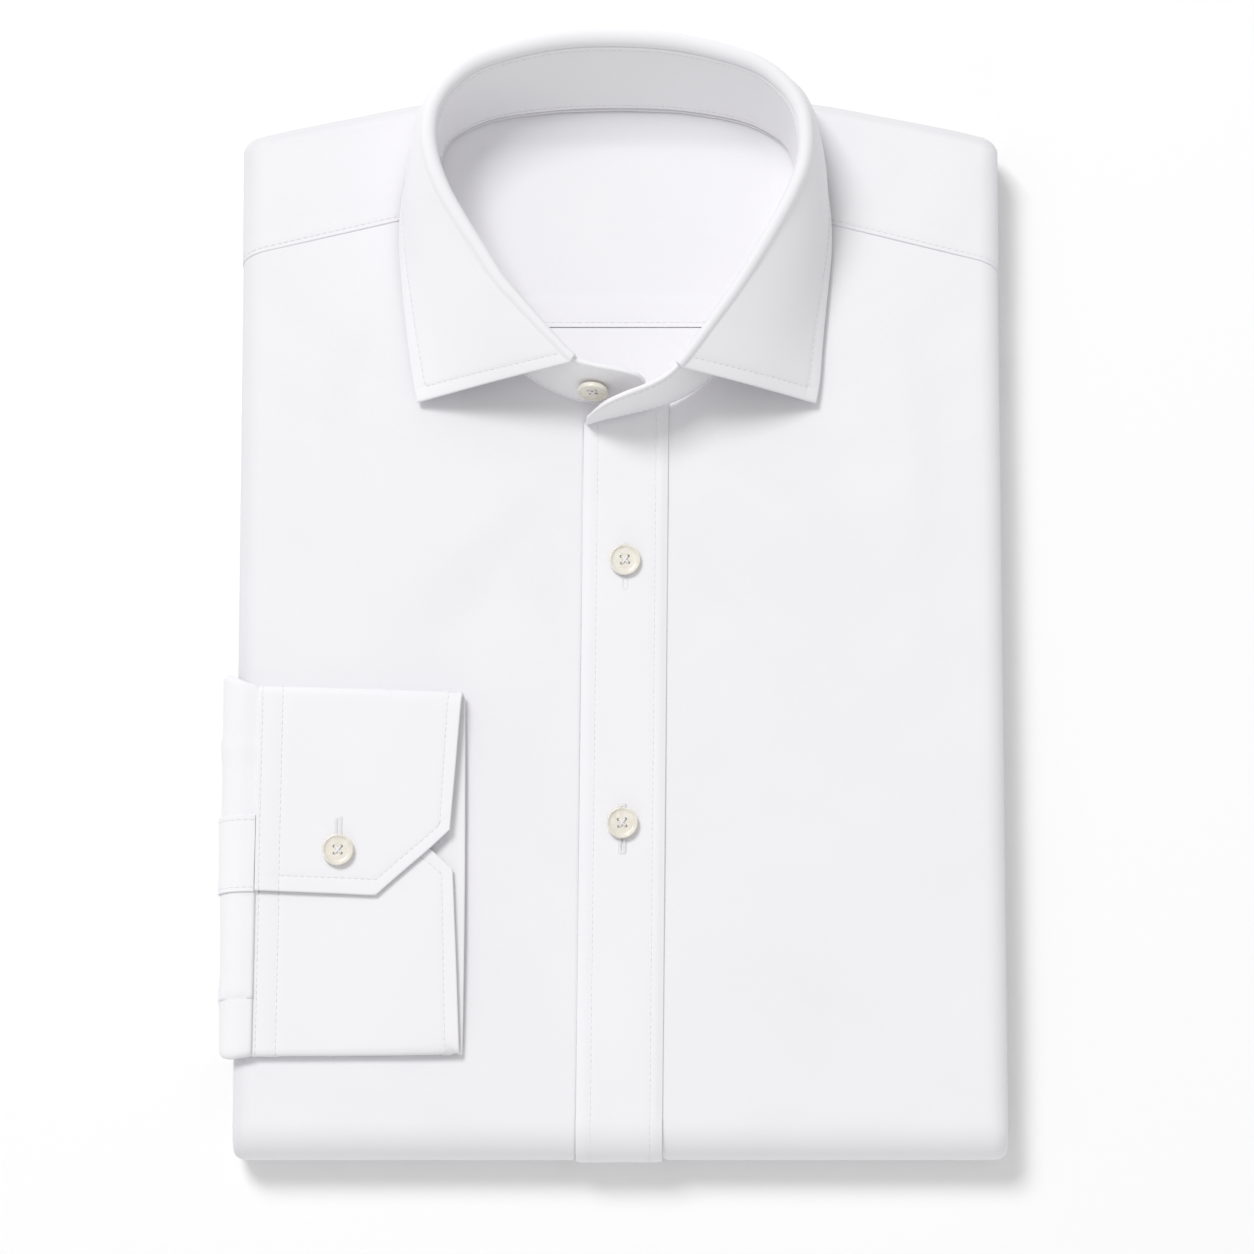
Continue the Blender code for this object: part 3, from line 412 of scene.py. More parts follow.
# Creases on the underside
# columns: x, y, x, y, half width, height
UNDER_CREASES = [
    (-118.0, 60.0, -30.0, 20.0, 6.0, -0.4),
    (-100.0, -20.0, -24.0, -70.0, 8.0, -0.45),
    (-112.0, -96.0, -60.0, -150.0, 6.0, -0.4),
    (30.0, 74.0, 112.0, 28.0, 6.0, -0.45),
    (24.0, -10.0, 118.0, 6.0, 7.0, -0.35),
    (40.0, -60.0, 96.0, -140.0, 8.0, -0.45),
]


# Reading the tables

def along(table, value, column=1):
    """Value of a column at a position, straight between the rows of a table sorted by column 0."""
    rows = sorted(table)
    if value <= rows[0][0]:
        return rows[0][column]
    for low, high in zip(rows, rows[1:]):
        if value <= high[0]:
            share = (value - low[0]) / (high[0] - low[0])
            return low[column] + share * (high[column] - low[column])
    return rows[-1][column]


def smooth_along(table, value, column=1):
    """As along, on a smooth curve through the rows; the table is in rising order."""
    last = len(table) - 1
    if value <= table[0][0]:
        return table[0][column]
    if value >= table[last][0]:
        return table[last][column]
    k = max(n for n in range(last) if table[n][0] <= value)

    def slope(n):
        if n == 0:
            return 0.0
        after = min(n + 1, last)
        return (table[after][column] - table[n - 1][column]) / (table[after][0] - table[n - 1][0])

    width = table[k + 1][0] - table[k][0]
    f = (value - table[k][0]) / width
    start = table[k][column]
    end = table[k + 1][column]
    return ((2 * f ** 3 - 3 * f * f + 1) * start + (f ** 3 - 2 * f * f + f) * width * slope(k)
            + (3 * f * f - 2 * f ** 3) * end + (f ** 3 - f * f) * width * slope(k + 1))


def spline(rows, spot):
    """Values on a smooth curve through the rows of a table, at a row number between rows."""
    last = len(rows) - 1
    spot = min(max(spot, 0.0), float(last))
    k = min(int(spot), last - 1)
    f = spot - k
    ends = (rows[max(k - 1, 0)], rows[k], rows[k + 1], rows[min(k + 2, last)])
    return [0.5 * (2 * b + (c - a) * f + (2 * a - 5 * b + 4 * c - d) * f * f
                   + (3 * b - a - 3 * c + d) * f ** 3) for a, b, c, d in zip(*ends)]


def ease(value):
    """Smooth step from 0 to 1."""
    value = min(max(value, 0.0), 1.0)
    return value * value * (3.0 - 2.0 * value)


def mix(first, second, share):
    return first + share * (second - first)


def span(first, last, step):
    """Evenly spaced values from first to last, about a step apart, both ends included."""
    count = max(int(round(abs(last - first) / step)), 1)
    return [mix(first, last, n / count) for n in range(count + 1)]


# The body's surface: t runs up the front and round both end folds

top_cache = {}


def top_line(x):
    """Where the flat front ends and the top fold begins."""
    key = round(abs(x), 2)
    if key not in top_cache:
        top_cache[key] = smooth_along(TOP_EDGE, key) - TOP_REACH
    return top_cache[key]


def rolls(t, x):
    """Reach and depth of the rolled side edge at a position along the cloth."""
    nose_low = FOLD_Y - HALF * math.pi / 2.0
    nose_top = top_line(x) + TOP_ARC * math.pi / 2.0
    if nose_low <= t <= nose_top:
        far = ROLL_FRONT
        share = ease(min(t - nose_low, nose_top - t) / ROLL_EASE)
    else:
        far = ROLL_UNDER
        share = ease(max(nose_low - t, t - nose_top) / ROLL_EASE)
    return [mix(a, b, share) for a, b in zip(ROLL_NOSE, far)]


def place(x, t, depth):
    """Point at a depth below the outer face."""
    if t < FOLD_Y:
        angle = (FOLD_Y - t) / HALF
        if angle <= math.pi:
            radius = HALF - depth
            return Vector((x, FOLD_Y - radius * math.sin(angle), HALF + radius * math.cos(angle)))
        return Vector((x, 2.0 * FOLD_Y - BOTTOM_ARC - t, depth))
    top = top_line(x)
    if t > top:
        angle = (t - top) / TOP_ARC
        if angle <= math.pi:
            reach = TOP_REACH - depth
            if depth > TOP_REACH / 2.0:
                reach = TOP_REACH / 2.0 * (HALF - depth) / (HALF - TOP_REACH / 2.0)
            return Vector((x, top + reach * math.sin(angle), HALF + (HALF - depth) * math.cos(angle)))
        return Vector((x, top - (t - top - math.pi * TOP_ARC), depth))
    return Vector((x, t, THICK - depth))


def under(y):
    """Position along the cloth of a point on the underside, past the bottom fold."""
    return 2.0 * FOLD_Y - BOTTOM_ARC - y


def across(side, t, angle, inset, width=HALF_WIDTH):
    """X and depth on a rolled side edge, at an angle from the flat, moved in by an inset."""
    reach, deep = rolls(t, side * width)
    start = width - reach
    x = start + (reach - inset) * math.sin(math.radians(angle))
    depth = inset + max(deep - inset, 0.3) * (1.0 - math.cos(math.radians(angle)))
    return side * x, depth


def flat_limit(t, x):
    return HALF_WIDTH - rolls(t, x)[0]


def wrapped(side, reach, t, lift=0.0):
    """Point of the flat pattern laid on the body: reach is the distance out from the centre line."""
    start = flat_limit(t, side * HALF_WIDTH)
    if reach <= start:
        return place(side * reach, t, -lift)
    angle = SLIT_ANGLE * (reach - start) / SIDE_ROLL
    x, depth = across(side, t, angle, -lift)
    return place(x, t, depth)


def sunk(t):
    """How far the placket sinks into the layers: 0 on the front, its full height underneath."""
    angle = (FOLD_Y - t) / HALF
    return PLACKET_PROUD * ease((angle - 0.9) / 1.5)


def placket_centre(t):
    y = t if t > FOLD_Y else max(FOLD_Y - 8.0, BOTTOM_Y)
    return along(PLACKET_CENTRE, y)


def slant(t, x):
    """Bend the rows near the collar so that they follow the sloping top edge."""
    share = ease((t - 110.0) / (top_line(0.0) - 110.0))
    return t - share * (top_line(0.0) - top_line(x))


def neck_frame(spot):
    """Seam point, outward direction in plan, top point and outward direction there, at a stand row."""
    last = len(STAND) - 1
    row = spline(STAND, spot)
    before = spline(STAND, max(spot - 0.4, 0.0))
    after = spline(STAND, min(spot + 0.4, last))
    tangent = Vector((after[0] - before[0], after[1] - before[1], 0.0)).normalized()
    top_tangent = Vector((after[3] - before[3], after[4] - before[4], 0.0)).normalized()
    outward = Vector((-tangent.y, tangent.x, 0.0))
    top_outward = Vector((-top_tangent.y, top_tangent.x, 0.0))
    return Vector(row[:3]), outward, Vector(row[3:6]), top_outward


def neck_edge(spot, inward=0.9):
    """Edge of the cloth at the neck, level with the inner face of the stand."""
    seam, outward, _, _ = neck_frame(spot)
    edge = seam - outward * inward
    return edge.x, edge.y


# Relief of the cloth

def crease_height(table, x, y):
    """Sum of the soft creases of a table at a point of the flat pattern."""
    total = 0.0
    for x0, y0, x1, y1, half, height in table:
        dx = x1 - x0
        dy = y1 - y0
        length = math.hypot(dx, dy)
        share = ((x - x0) * dx + (y - y0) * dy) / (length * length)
        if share < -0.1 or share > 1.1:
            continue
        off = ((x - x0) * dy - (y - y0) * dx) / length
        bend = 0.25 * half * math.sin(5.0 * share + x0)
        width = half * (0.75 + 0.5 * share)
        fade = ease((share + 0.1) / 0.45) * ease((1.1 - share) / 0.45)
        total += height * fade * math.exp(-((off - bend) / width) ** 2)
    return total


def groove(distance, width, depth):
    """Trough pressed in by a line of stitches."""
    return -depth * math.exp(-(distance / width) ** 2)


def body_relief(x, t):
    """Creases of the fronts, on the front and the underside."""
    if t >= FOLD_Y - 6.0:
        return crease_height(FRONT_CREASES, x, t)
    if t < FOLD_Y - BOTTOM_ARC:
        return crease_height(UNDER_CREASES, x, 2.0 * FOLD_Y - BOTTOM_ARC - t) * ease(
            (FOLD_Y - BOTTOM_ARC - t) / 10.0)
    return 0.0


# Building meshes

TINY = 1e-6
# Share of half the wall over which an edge is rounded
RIM_SHARE = 0.62
# How soon a surface of the folded edges turned up or to the left gets its full painted shade
FOLD_SHADE_GAIN = 1.8


def normals_of(grid, loop, flip):
    rows = len(grid)
    cols = len(grid[0])
    result = []
    for i in range(rows):
        line = []
        for j in range(cols):
            down = grid[max(i - 1, 0)][j]
            up = grid[min(i + 1, rows - 1)][j]
            left = grid[i][(j - 1) % cols if loop else max(j - 1, 0)]
            right = grid[i][(j + 1) % cols if loop else min(j + 1, cols - 1)]
            normal = (right - left).cross(up - down)
            if normal.length < 1e-9:
                normal = line[-1].copy() if line else Vector((0.0, 0.0, 1.0))
            else:
                normal.normalize()
                if flip:
                    normal = -normal
            line.append(normal)
        result.append(line)
    return result


def border_rows(grid, wall):
    """Rows added close to both ends of a grid, so that its edge can be rounded."""
    def extra(first, second):
        lines = []
        for reach in (0.09, 0.3, 0.65):
            line = []
            for a, b in zip(first, second):
                gap = (b - a).length
                line.append(a.lerp(b, min(wall * reach / gap, reach) if gap > 1e-6 else 0.0))
            lines.append(line)
        return lines

    start = extra(grid[0], grid[1])
    end = extra(grid[-1], grid[-2])
    return [grid[0]] + start + grid[1:-1] + list(reversed(end)) + [grid[-1]]


def refined(grid, first_marks, last_marks):
    """Rows measured out again, with points at set distances from their first and last points."""
    over = measured(grid)
    middle = over[len(over) // 2]
    head = first_marks[-1]
    tail = last_marks[-1]
    room = middle[-1] - head - tail
    shares = [(spot - head) / room for spot in middle if head + 0.3 < spot < middle[-1] - tail - 0.3]
    result = []
    for row, distance in zip(grid, over):
        length = distance[-1]
        spots = first_marks + [mix(head, length - tail, share) for share in shares]
        spots += [length - mark for mark in reversed(last_marks)]
        line = []
        k = 0
        for spot in spots:
            while k < len(row) - 2 and distance[k + 1] < spot:
                k += 1
            gap = distance[k + 1] - distance[k]
            share = (spot - distance[k]) / gap if gap > 1e-9 else 0.0
            line.append(row[k].lerp(row[k + 1], min(max(share, 0.0), 1.0)))
        result.append(line)
    return result


def marks(*lines):
    """Distances from an edge, close together at each line of stitches."""
    spots = [0.0]
    for line in lines:
        spots += [line - 0.6, line - 0.3, line, line + 0.3, line + 0.6]
    return spots


def turned(grid):
    return [list(line) for line in zip(*grid)]


def measured(grid):
    """Distance of each point from the first point of its row."""
    result = []
    for row in grid:
        total = 0.0
        line = [0.0]
        for a, b in zip(row, row[1:]):
            total += (b - a).length
            line.append(total)
        result.append(line)
    return result


def shell(name, grid, wall, seat=-1.0, flip=False, loop=False, relief=None, shade_folds=False):
    """Closed thin shell with rounded edges on a grid of points. Seat -1: the points are its outer face."""
    grid = border_rows(grid, wall)
    if not loop:
        grid = turned(border_rows(turned(grid), wall))
    rows = len(grid)
    cols = len(grid[0])
    over = measured(grid)
    down = turned(measured(turned(grid)))
    normals = normals_of(grid, loop, flip)
    if relief is not None:
        grid = [[grid[i][j] + normals[i][j] * relief(i, over[i][j], over[i][-1] - over[i][j], down[i][j],
                                                     down[-1][j] - down[i][j])
                 for j in range(cols)] for i in range(rows)]
        normals = normals_of(grid, loop, flip)
    verts = []
    threads = []
    upper = []
    lower = []
    half = wall / 2.0
    rounding = half * RIM_SHARE
    for i in range(rows):
        upper.append([])
        lower.append([])
        for j in range(cols):
            gap = min(down[i][j], down[-1][j] - down[i][j])
            if not loop:
                gap = min(gap, over[i][j], over[i][-1] - over[i][j])
            share = min(gap / rounding, 1.0)
            swell = half * math.sqrt(max(1.0 - (1.0 - share) ** 2, 0.0))
            normal = normals[i][j]
            middle = grid[i][j] + normal * half * seat
            # Painted shade: share of darkening for surfaces of the folded edges turned up or to the left
            fold = min(max(FOLD_SHADE_GAIN * max(normal.y, -normal.x), 0.0), 1.0) if shade_folds else 0.0
            upper[i].append(len(verts))
            verts.append(middle + normal * swell)
            if gap >= TINY:
                verts.append(middle - normal * swell)
            lower[i].append(len(verts) - 1)
            while len(threads) < len(verts):
                threads.append((over[i][j], down[i][j], fold))
    faces = []
    for i in range(rows - 1):
        for j in range(cols if loop else cols - 1):
            k = (j + 1) % cols
            top = (upper[i][j], upper[i][k], upper[i + 1][k], upper[i + 1][j])
            low = (lower[i][j], lower[i + 1][j], lower[i + 1][k], lower[i][k])
            if flip:
                top = tuple(reversed(top))
                low = tuple(reversed(low))
            faces += [top, low]
    obj = mesh_piece(name, verts, faces)
    store_threads(obj, threads)
    return obj, grid, normals


def store_threads(obj, threads):
    """Position along and across the cloth's threads, and the share of painted shade on the folded edges."""
    layer = obj.data.attributes.new("thread", "FLOAT_VECTOR", "POINT")
    for n, value in enumerate(threads):
        layer.data[n].vector = value


def mesh_piece(name, verts, faces):
    mesh = bpy.data.meshes.new(name)
    mesh.from_pydata([tuple(v * MM for v in point) for point in verts], [], faces)
    mesh.validate()
    mesh.shade_smooth()
    obj = bpy.data.objects.new(name, mesh)
    bpy.context.scene.collection.objects.link(obj)
    return obj


# Fronts

def front_lines(side):
    """Rows of a front from the tail to the yoke seam: inner t, outer t, inner x or None, depth."""
    rows = []
    for share in span(0.0, 1.0, 1.0 / 14.0):
        ends = [under(mix(tail, TAIL_LEVEL, share)) for tail in (TAIL_CENTRE, TAIL_SIDE)]
        rows.append((*ends, None))
    levels = [under(y) for y in span(TAIL_LEVEL, FOLD_Y, 4.0)[1:]]
    levels += [FOLD_Y - HALF * angle for angle in span(math.pi, 0.0, math.pi / 30.0)[1:]]
    levels += span(FOLD_Y, CHEST_Y, 2.2)[1:]
    rows += [(t, t, None) for t in levels]
    if side < 0.0:
        seam = [(8.0, 73.0), (-3.0, 78.6)] + [neck_edge(k) for k in range(4, 11)] + [(-63.2, 149.6)]
        end = YOKE_SEAM_LEFT[2] - 0.5
    else:
        seam = [(-10.0, 72.0), (2.0, 74.6), (9.0, 76.8)]
        seam += [neck_edge(k) for k in range(32, 25, -1)] + [(61.3, 148.1)]
        end = YOKE_SEAM_RIGHT[2] - 0.5
    for share in span(0.0, 1.0, 1.0 / 7.0)[1:-1]:
        rows.append((mix(CHEST_Y, seam[0][1], share), mix(CHEST_Y, SIDE_Y, share), None))
    last = len(seam) - 1
    for k in span(0.0, last, 0.2):
        x, y = spline(seam, k)
        rows.append((y, SIDE_Y + (end - SIDE_Y) * (k / last) ** 1.1, x))
    rows = [(*row, 0.0) for row in rows]
    for run, depth in YOKE_TUCK:
        rows.append((y + run, end + run, x, depth))
    return rows


def front_panel(name, side):
    grid = []
    for inner_t, outer_t, inner_x, tuck in front_lines(side):
        low = sunk(inner_t)
        centre = placket_centre(inner_t)
        edge = centre + side * PLACKET_HALF
        if side < 0.0:
            deep = low + PLACKET_PROUD
            ridge = EDGE_RIDGE * (1.0 - low / PLACKET_PROUD)
            heads = [(edge + STAND_UNDER, deep), (edge + 10.0, deep), (edge + 1.7, deep),
                     (edge + 0.3, low + 0.3), (edge - 0.28, low - ridge), (edge - 1.3, -0.7 * ridge),
                     (edge - 3.2, 0.0)]
        else:
            heads = [(centre - PLACKET_HALF + 1.6, low), (centre - PLACKET_HALF + 10.0, low),
                     (centre + 6.0, low), (edge + 0.4, low), (edge + 1.7, 0.0)]
        if inner_x is not None and (inner_x - edge) * side >= 0.0:
            heads = [(inner_x + side * 1.3 * n, tuck) for n in range(len(heads))]
        elif inner_x is not None and side < 0.0:
            middle = mix(inner_x, edge + 1.0, 0.5)
            heads = [(inner_x, PLACKET_PROUD), (middle, PLACKET_PROUD)] + heads[2:]
        elif inner_x is not None:
            heads = [(mix(inner_x, edge + 0.4, n / 3.0), 0.0) for n in range(3)] + heads[3:]
        limit = side * flat_limit(outer_t, side * HALF_WIDTH)
        spots = heads + [(mix(heads[-1][0], limit, share), tuck) for share in span(0.0, 1.0, 1.0 / 44.0)[1:]]
        row = []
        for x, depth in spots:
            t = mix(inner_t, outer_t, (x - heads[0][0]) / (limit - heads[0][0]))
            height = body_relief(x, t) * CREASE_GAIN if depth == tuck else 0.0
            if side < 0.0 and t > TAIL_LEVEL:
                depth *= 1.0 - 0.9 * ease((t - 75.4 - 0.25 * x) / 2.2)
            row.append(creased(place(x, t, depth), t, height))
        for angle in span(0.0, SLIT_ANGLE, 12.5)[1:]:
            t = outer_t - SEAM_DROP * ease((outer_t - 100.0) / 32.0) * angle / 90.0
            x, depth = across(side, t, angle, tuck)
            height = body_relief(x, t) * (1.0 - angle / SLIT_ANGLE) * CREASE_GAIN
            row.append(creased(place(x, t, depth), t, height))
        grid.append(row)
    # Painted shade on the folded edges turned up or to the left
    return shell(name, grid, FRONT_WALL, flip=side < 0.0, shade_folds=True)


def creased(point, t, height):
    """The point raised out of the front or the underside."""
    point.z += height if t > FOLD_Y - HALF else -height
    return point


# Placket

def placket_section():
    """Positions across the placket strip, closer together at its stitch lines."""
    left = -PLACKET_HALF + PLACKET_STITCH_LEFT
    right = PLACKET_HALF - PLACKET_STITCH_RIGHT
    near = (-1.3, -0.7, -0.3, 0.0, 0.3, 0.7, 1.3)
    spots = [-15.0, -14.4, -13.4, -12.2] + [left + d for d in near]
    spots += span(left + 2.8, right - 2.8, 2.2) + [right + d for d in near]
    return spots + [12.6, 13.4, 14.4, 15.0]


def placket_point(t, u, lift=0.0):
    """Point on the placket's outer face at a distance u from its centre line."""
    return place(placket_centre(t) + u, t, sunk(t) - PLACKET_PROUD - lift)


def placket_rows():
    rows = [under(y) for y in span(TAIL_CENTRE, FOLD_Y, 4.0)]
    rows += [FOLD_Y - HALF * angle for angle in span(math.pi, 0.0, math.pi / 30.0)][1:]
    rows += span(FOLD_Y, PLACKET_TOP, 2.0)[1:]
    return rows


def placket_slope(t, u):
    """Bend the last rows so that the strip ends along the seam of the collar."""
    return t + (along(PLACKET_END, u) - PLACKET_TOP) * ease((t - 45.0) / (PLACKET_TOP - 45.0))


def placket_relief(u, t):
    left = u + PLACKET_HALF - PLACKET_STITCH_LEFT
    right = u - PLACKET_HALF + PLACKET_STITCH_RIGHT
    pucker = 1.0 + 0.35 * math.sin(t * 0.9) * math.sin(t * 0.23 + 1.0)
    height = groove(left, 0.7, 0.08 * pucker) + groove(right, 0.7, 0.08 * pucker)
    for y in FRONT_BUTTONS_Y:
        height += groove(math.hypot(u * 0.9, t - y), 9.0, 0.22)
        height += groove(math.hypot(u, (t - y + 4.0) * 0.35), 1.4, 0.12)
    height += 0.2 * math.sin(t * 0.041 + 0.6 + u * 0.05) * math.sin(u * 0.16 + 1.3)
    height += 0.3 * ease((t - 64.0) / 10.0)
    height -= 0.66 * math.exp(-((PLACKET_HALF - abs(u)) / 1.5) ** 2)
    height -= 0.5 * math.exp(-((t + u * 0.05 - 52.0 - u * 0.7) / 9.0) ** 2) * 0.5
    return height


def placket():
    spots = placket_section()
    grid = []
    for t in placket_rows():
        fade = 1.0 if t > FOLD_Y else UNDER_FADE
        grid.append([placket_point(placket_slope(t, u), u, placket_relief(u, t) * fade) for u in spots])
    return shell("placket_cloth", grid, PLACKET_WALL)


# Yoke

def yoke_line(side, number, shares):
    """One station of the yoke as distances out and along the pattern."""
    spot, kind, value = YOKE_STATIONS[number]
    seam = YOKE_SEAM_LEFT if side < 0.0 else YOKE_SEAM_RIGHT
    x0, y0 = neck_edge(spot if side < 0.0 else 36.0 - spot)
    if number == 0:
        x0, y0 = seam[0], seam[1]
    top = top_line(HALF_WIDTH)
    if kind == "side":
        t1 = seam[2] + value * (top - seam[2])
        reach1 = flat_limit(t1, HALF_WIDTH) + SIDE_ROLL
    elif kind == "fold":
        t1 = top + TOP_ARC * math.radians(value)
        reach1 = flat_limit(t1, HALF_WIDTH) + SIDE_ROLL
    else:
        reach1 = value
        t1 = top_line(value) + TOP_ARC * math.pi + (YOKE_BACK if kind == "back" else YOKE_BACK * 0.6)
    first = flat_share(abs(x0), y0, reach1, t1)
    line = []
    for share in shares:
        share = share * 2.0 * first if share < 0.5 else mix(first, 1.0, share * 2.0 - 1.0)
        t = mix(y0, t1, share)
        if kind == "side":
            turn = max(share - first, 0.0) / (1.0 - first) * SLIT_ANGLE / 90.0
            t = mix(y0, t1, min(share / first, 1.0)) - SEAM_DROP * turn * ease(1.0 - value)
        line.append((mix(abs(x0), reach1, share), t))
    return line


def flat_share(x0, t0, x1, t1):
    """Share of a line across the yoke that lies on the flat, before either edge rolls over."""
    steps = 200
    for n in range(1, steps):
        x = mix(x0, x1, n / steps)
        t = mix(t0, t1, n / steps)
        if t > top_line(x) or x > flat_limit(t, HALF_WIDTH):
            return max(n - 1, 4) / steps
    return 0.5


def yoke_lift(reach, t):
    return YOKE_PROUD * (1.0 - ease((t - top_line(reach)) / 25.0))


def yoke():
    shares = span(0.0, 0.5, 1.0 / 52.0)[:-1] + span(0.5, 1.0, 1.0 / 60.0)
    halves = []
    for side in (-1.0, 1.0):
        stations = [yoke_line(side, n, shares) for n in range(len(YOKE_STATIONS))]
        rows = []
        for spot in span(0.0, 1.0, 0.07)[:-1] + span(1.0, len(stations) - 1.0, 0.2):
            k = min(int(spot), len(stations) - 2)
            row = []
            for a, b in zip(stations[k], stations[k + 1]):
                reach = mix(a[0], b[0], spot - k)
                t = mix(a[1], b[1], spot - k)
                row.append(wrapped(side, reach, t, yoke_lift(reach, t)))
            rows.append(row)
        halves.append(rows)
    grid = halves[0] + list(reversed(halves[1][:-1]))

    def relief(row, out, rest, start, end):
        edge = min(start, end)
        height = groove(edge - YOKE_STITCH, 0.6, 0.16) + groove(edge - 7.0, 2.4, 0.08)
        return height + 0.1 * math.sin(out * 0.06 + row * 0.03)

    # Painted shade on the folded edges turned up or to the left
    return shell("yoke_cloth", grid, YOKE_WALL, flip=True, relief=relief, shade_folds=True)


# Folded layers

CORE_STEP = 2.4
CORE_TOP_EXTRA = 2.1
CORE_TOP_FLAT = (-46.0, 44.6)
# Points down each side edge, for the layers that show there
LAYER_POINTS = 40
LAYER_FOLDS = 5.0
LAYER_IN = -1.5
LAYER_OUT = 2.5
# How far the layers stand back where the sleeve comes out between them
SLEEVE_SLOT = 11.0


def core_side(y, share, side):
    """How far a folded layer stands out of the side edge, at a share of the height from the top."""
    wave = 0.22 * math.sin(y * 0.031 + 9.0 * share) + 0.14 * math.sin(y * 0.083 + 4.0 + 17.0 * share)
    folds = abs(math.sin(math.pi * (share * LAYER_FOLDS + 0.16 * math.sin(y * 0.017 + side))))
    return LAYER_IN + LAYER_OUT * math.sqrt(folds) + wave


def core_line(kind, value, lower):
    """One row of points across the folded layers: flat at a y, or at an angle round the bottom or top."""
    turn = math.radians(180.0 - value if lower else value)
    t = value if kind == "flat" else FOLD_Y
    path = FOLD_Y - HALF * turn if kind == "bottom" else under(t) if lower else t
    centre = placket_centre(path)
    deep = CORE_DEPTH + PLACKET_PROUD + sunk(path)
    left = centre - PLACKET_HALF - CORE_STEP
    right = centre + PLACKET_HALF + CORE_STEP
    inner = 2.0
    extra = 0.0
    if kind == "top":
        left, right = CORE_TOP_FLAT
        deep = CORE_DEPTH + 0.3
        inner = 3.0
        extra = CORE_TOP_EXTRA
    elif kind == "flat" and lower:
        extra = CORE_TOP_EXTRA * ease((t - 125.0) / 25.0)
    elif kind == "flat" and t >= RECESS[0][0]:
        left, right, deep = [along(RECESS, t, column) for column in (1, 2, 3)]
        inner = 3.0

    def path_at(x):
        if kind == "bottom":
            return FOLD_Y - HALF * turn
        if kind == "top":
            return top_line(x) + TOP_ARC * turn
        return under(slant(t, x)) if lower else slant(t, x)

    points = []
    for side in (-1.0, 1.0):
        roll_t = under(t) if kind == "flat" and lower else path_at(side * HALF_WIDTH)
        reach = HALF_WIDTH - rolls(roll_t, side * HALF_WIDTH)[0]
        inset = CORE_TOP_EXTRA + extra + (1.3 if kind != "flat" and value > 50.0 else 0.0)
        if lower and kind == "flat":
            inset += ease((t - 135.0) / 25.0)
        roll = [across(side, roll_t, angle, inset) for angle in span(0.0, SLIT_ANGLE, 15.0)]
        edge = left if side < 0.0 else right
        flat = [(mix(side * reach, edge, share), CORE_DEPTH + extra) for share in (0.0, 0.25, 0.5, 0.75)]
        flat += [(edge, CORE_DEPTH + extra * 0.5), (edge - side * inner, deep)]
        if side < 0.0:
            spots = list(reversed(roll[1:])) + flat + [(mix(left, right, 0.5), deep)]
        else:
            spots = list(reversed(flat)) + roll[1:]
        points += [place(x, path_at(x), depth) for x, depth in spots]
    return points


def side_layers(start, end, side):
    """Points down one side edge, in and out round each folded layer."""
    points = []
    height = (start - end).length
    room = ease((height - 2.5) / 2.0) * ease((start.y - FOLD_Y + 3.0) / 6.0)
    room *= mix(0.3, 1.0, ease((146.0 - start.y) / 14.0)) * ease((173.0 - start.y) / 6.0)
    slot = 0.0
    if side < 0.0:
        slot = SLEEVE_SLOT * ease((-6.0 - start.y) / 6.0) * ease((start.y + 168.0) / 8.0)
    for n in range(1, LAYER_POINTS + 1):
        share = n / (LAYER_POINTS + 1.0)
        push = core_side(start.y, share, side) * room * (0.0 if slot > 0.01 else 1.0)
        point = start.lerp(end, share)
        point.x += side * (push - slot)
        points.append(point)
    return points


def folded_layers():
    lines = [("bottom", angle) for angle in span(90.0, 0.0, 9.0)]
    lines += [("flat", y) for y in span(FOLD_Y, 60.0, 5.0)[1:] + span(60.0, RECESS[-1][0], 3.0)[1:]]
    lines += [("top", angle) for angle in span(0.0, 90.0, 9.0)[1:]]
    verts = []
    for kind, value in lines:
        top = core_line(kind, value, False)
        low = core_line(kind, value, True)
        verts += top + side_layers(top[-1], low[-1], 1.0)
        verts += list(reversed(low)) + side_layers(low[0], top[0], -1.0)
    ring = len(verts) // len(lines)
    faces = []
    for i in range(len(lines) - 1):
        for j in range(ring):
            k = (j + 1) % ring
            faces.append((i * ring + j, i * ring + k, (i + 1) * ring + k, (i + 1) * ring + j))
    obj = mesh_piece("layers_cloth", verts, faces)
    bm = bmesh.new()
    bm.from_mesh(obj.data)
    bmesh.ops.remove_doubles(bm, verts=bm.verts, dist=0.00002)
    bmesh.ops.dissolve_degenerate(bm, edges=bm.edges, dist=0.00001)
    bmesh.ops.holes_fill(bm, edges=[edge for edge in bm.edges if edge.is_boundary])
    bmesh.ops.recalc_face_normals(bm, faces=bm.faces)
    bm.to_mesh(obj.data)
    bm.free()
    obj.data.shade_smooth()
    store_threads(obj, [(vert.co.x / MM, vert.co.y / MM + vert.co.z / MM, 0.0)
                        for vert in obj.data.vertices])
    return obj


# Neck floor

def floor_point(x, y, lift=0.0):
    left = smooth_along(NECK_FLOOR, y, 1)
    right = smooth_along(NECK_FLOOR, y, 2)
    sag = FLOOR_SAG * math.sin(math.pi * min(max((x - left) / (right - left), 0.0), 1.0))
    gap = min(x - left, right - x, NECK_FLOOR[-1][0] - y)
    rise = FLOOR_RISE * (1.0 - ease((gap - 3.5) / 10.0)) * ease((y - 84.0) / 16.0)
    return Vector((x, slant(y, x), THICK - FLOOR_DEPTH - sag + rise + lift))


def floor_grid(first, last):
    grid = []
    for y in span(first, last, 1.5):
        left = smooth_along(NECK_FLOOR, y, 1)
        right = smooth_along(NECK_FLOOR, y, 2)
        grid.append([floor_point(mix(left, right, n / 40.0), y) for n in range(41)])
    return grid


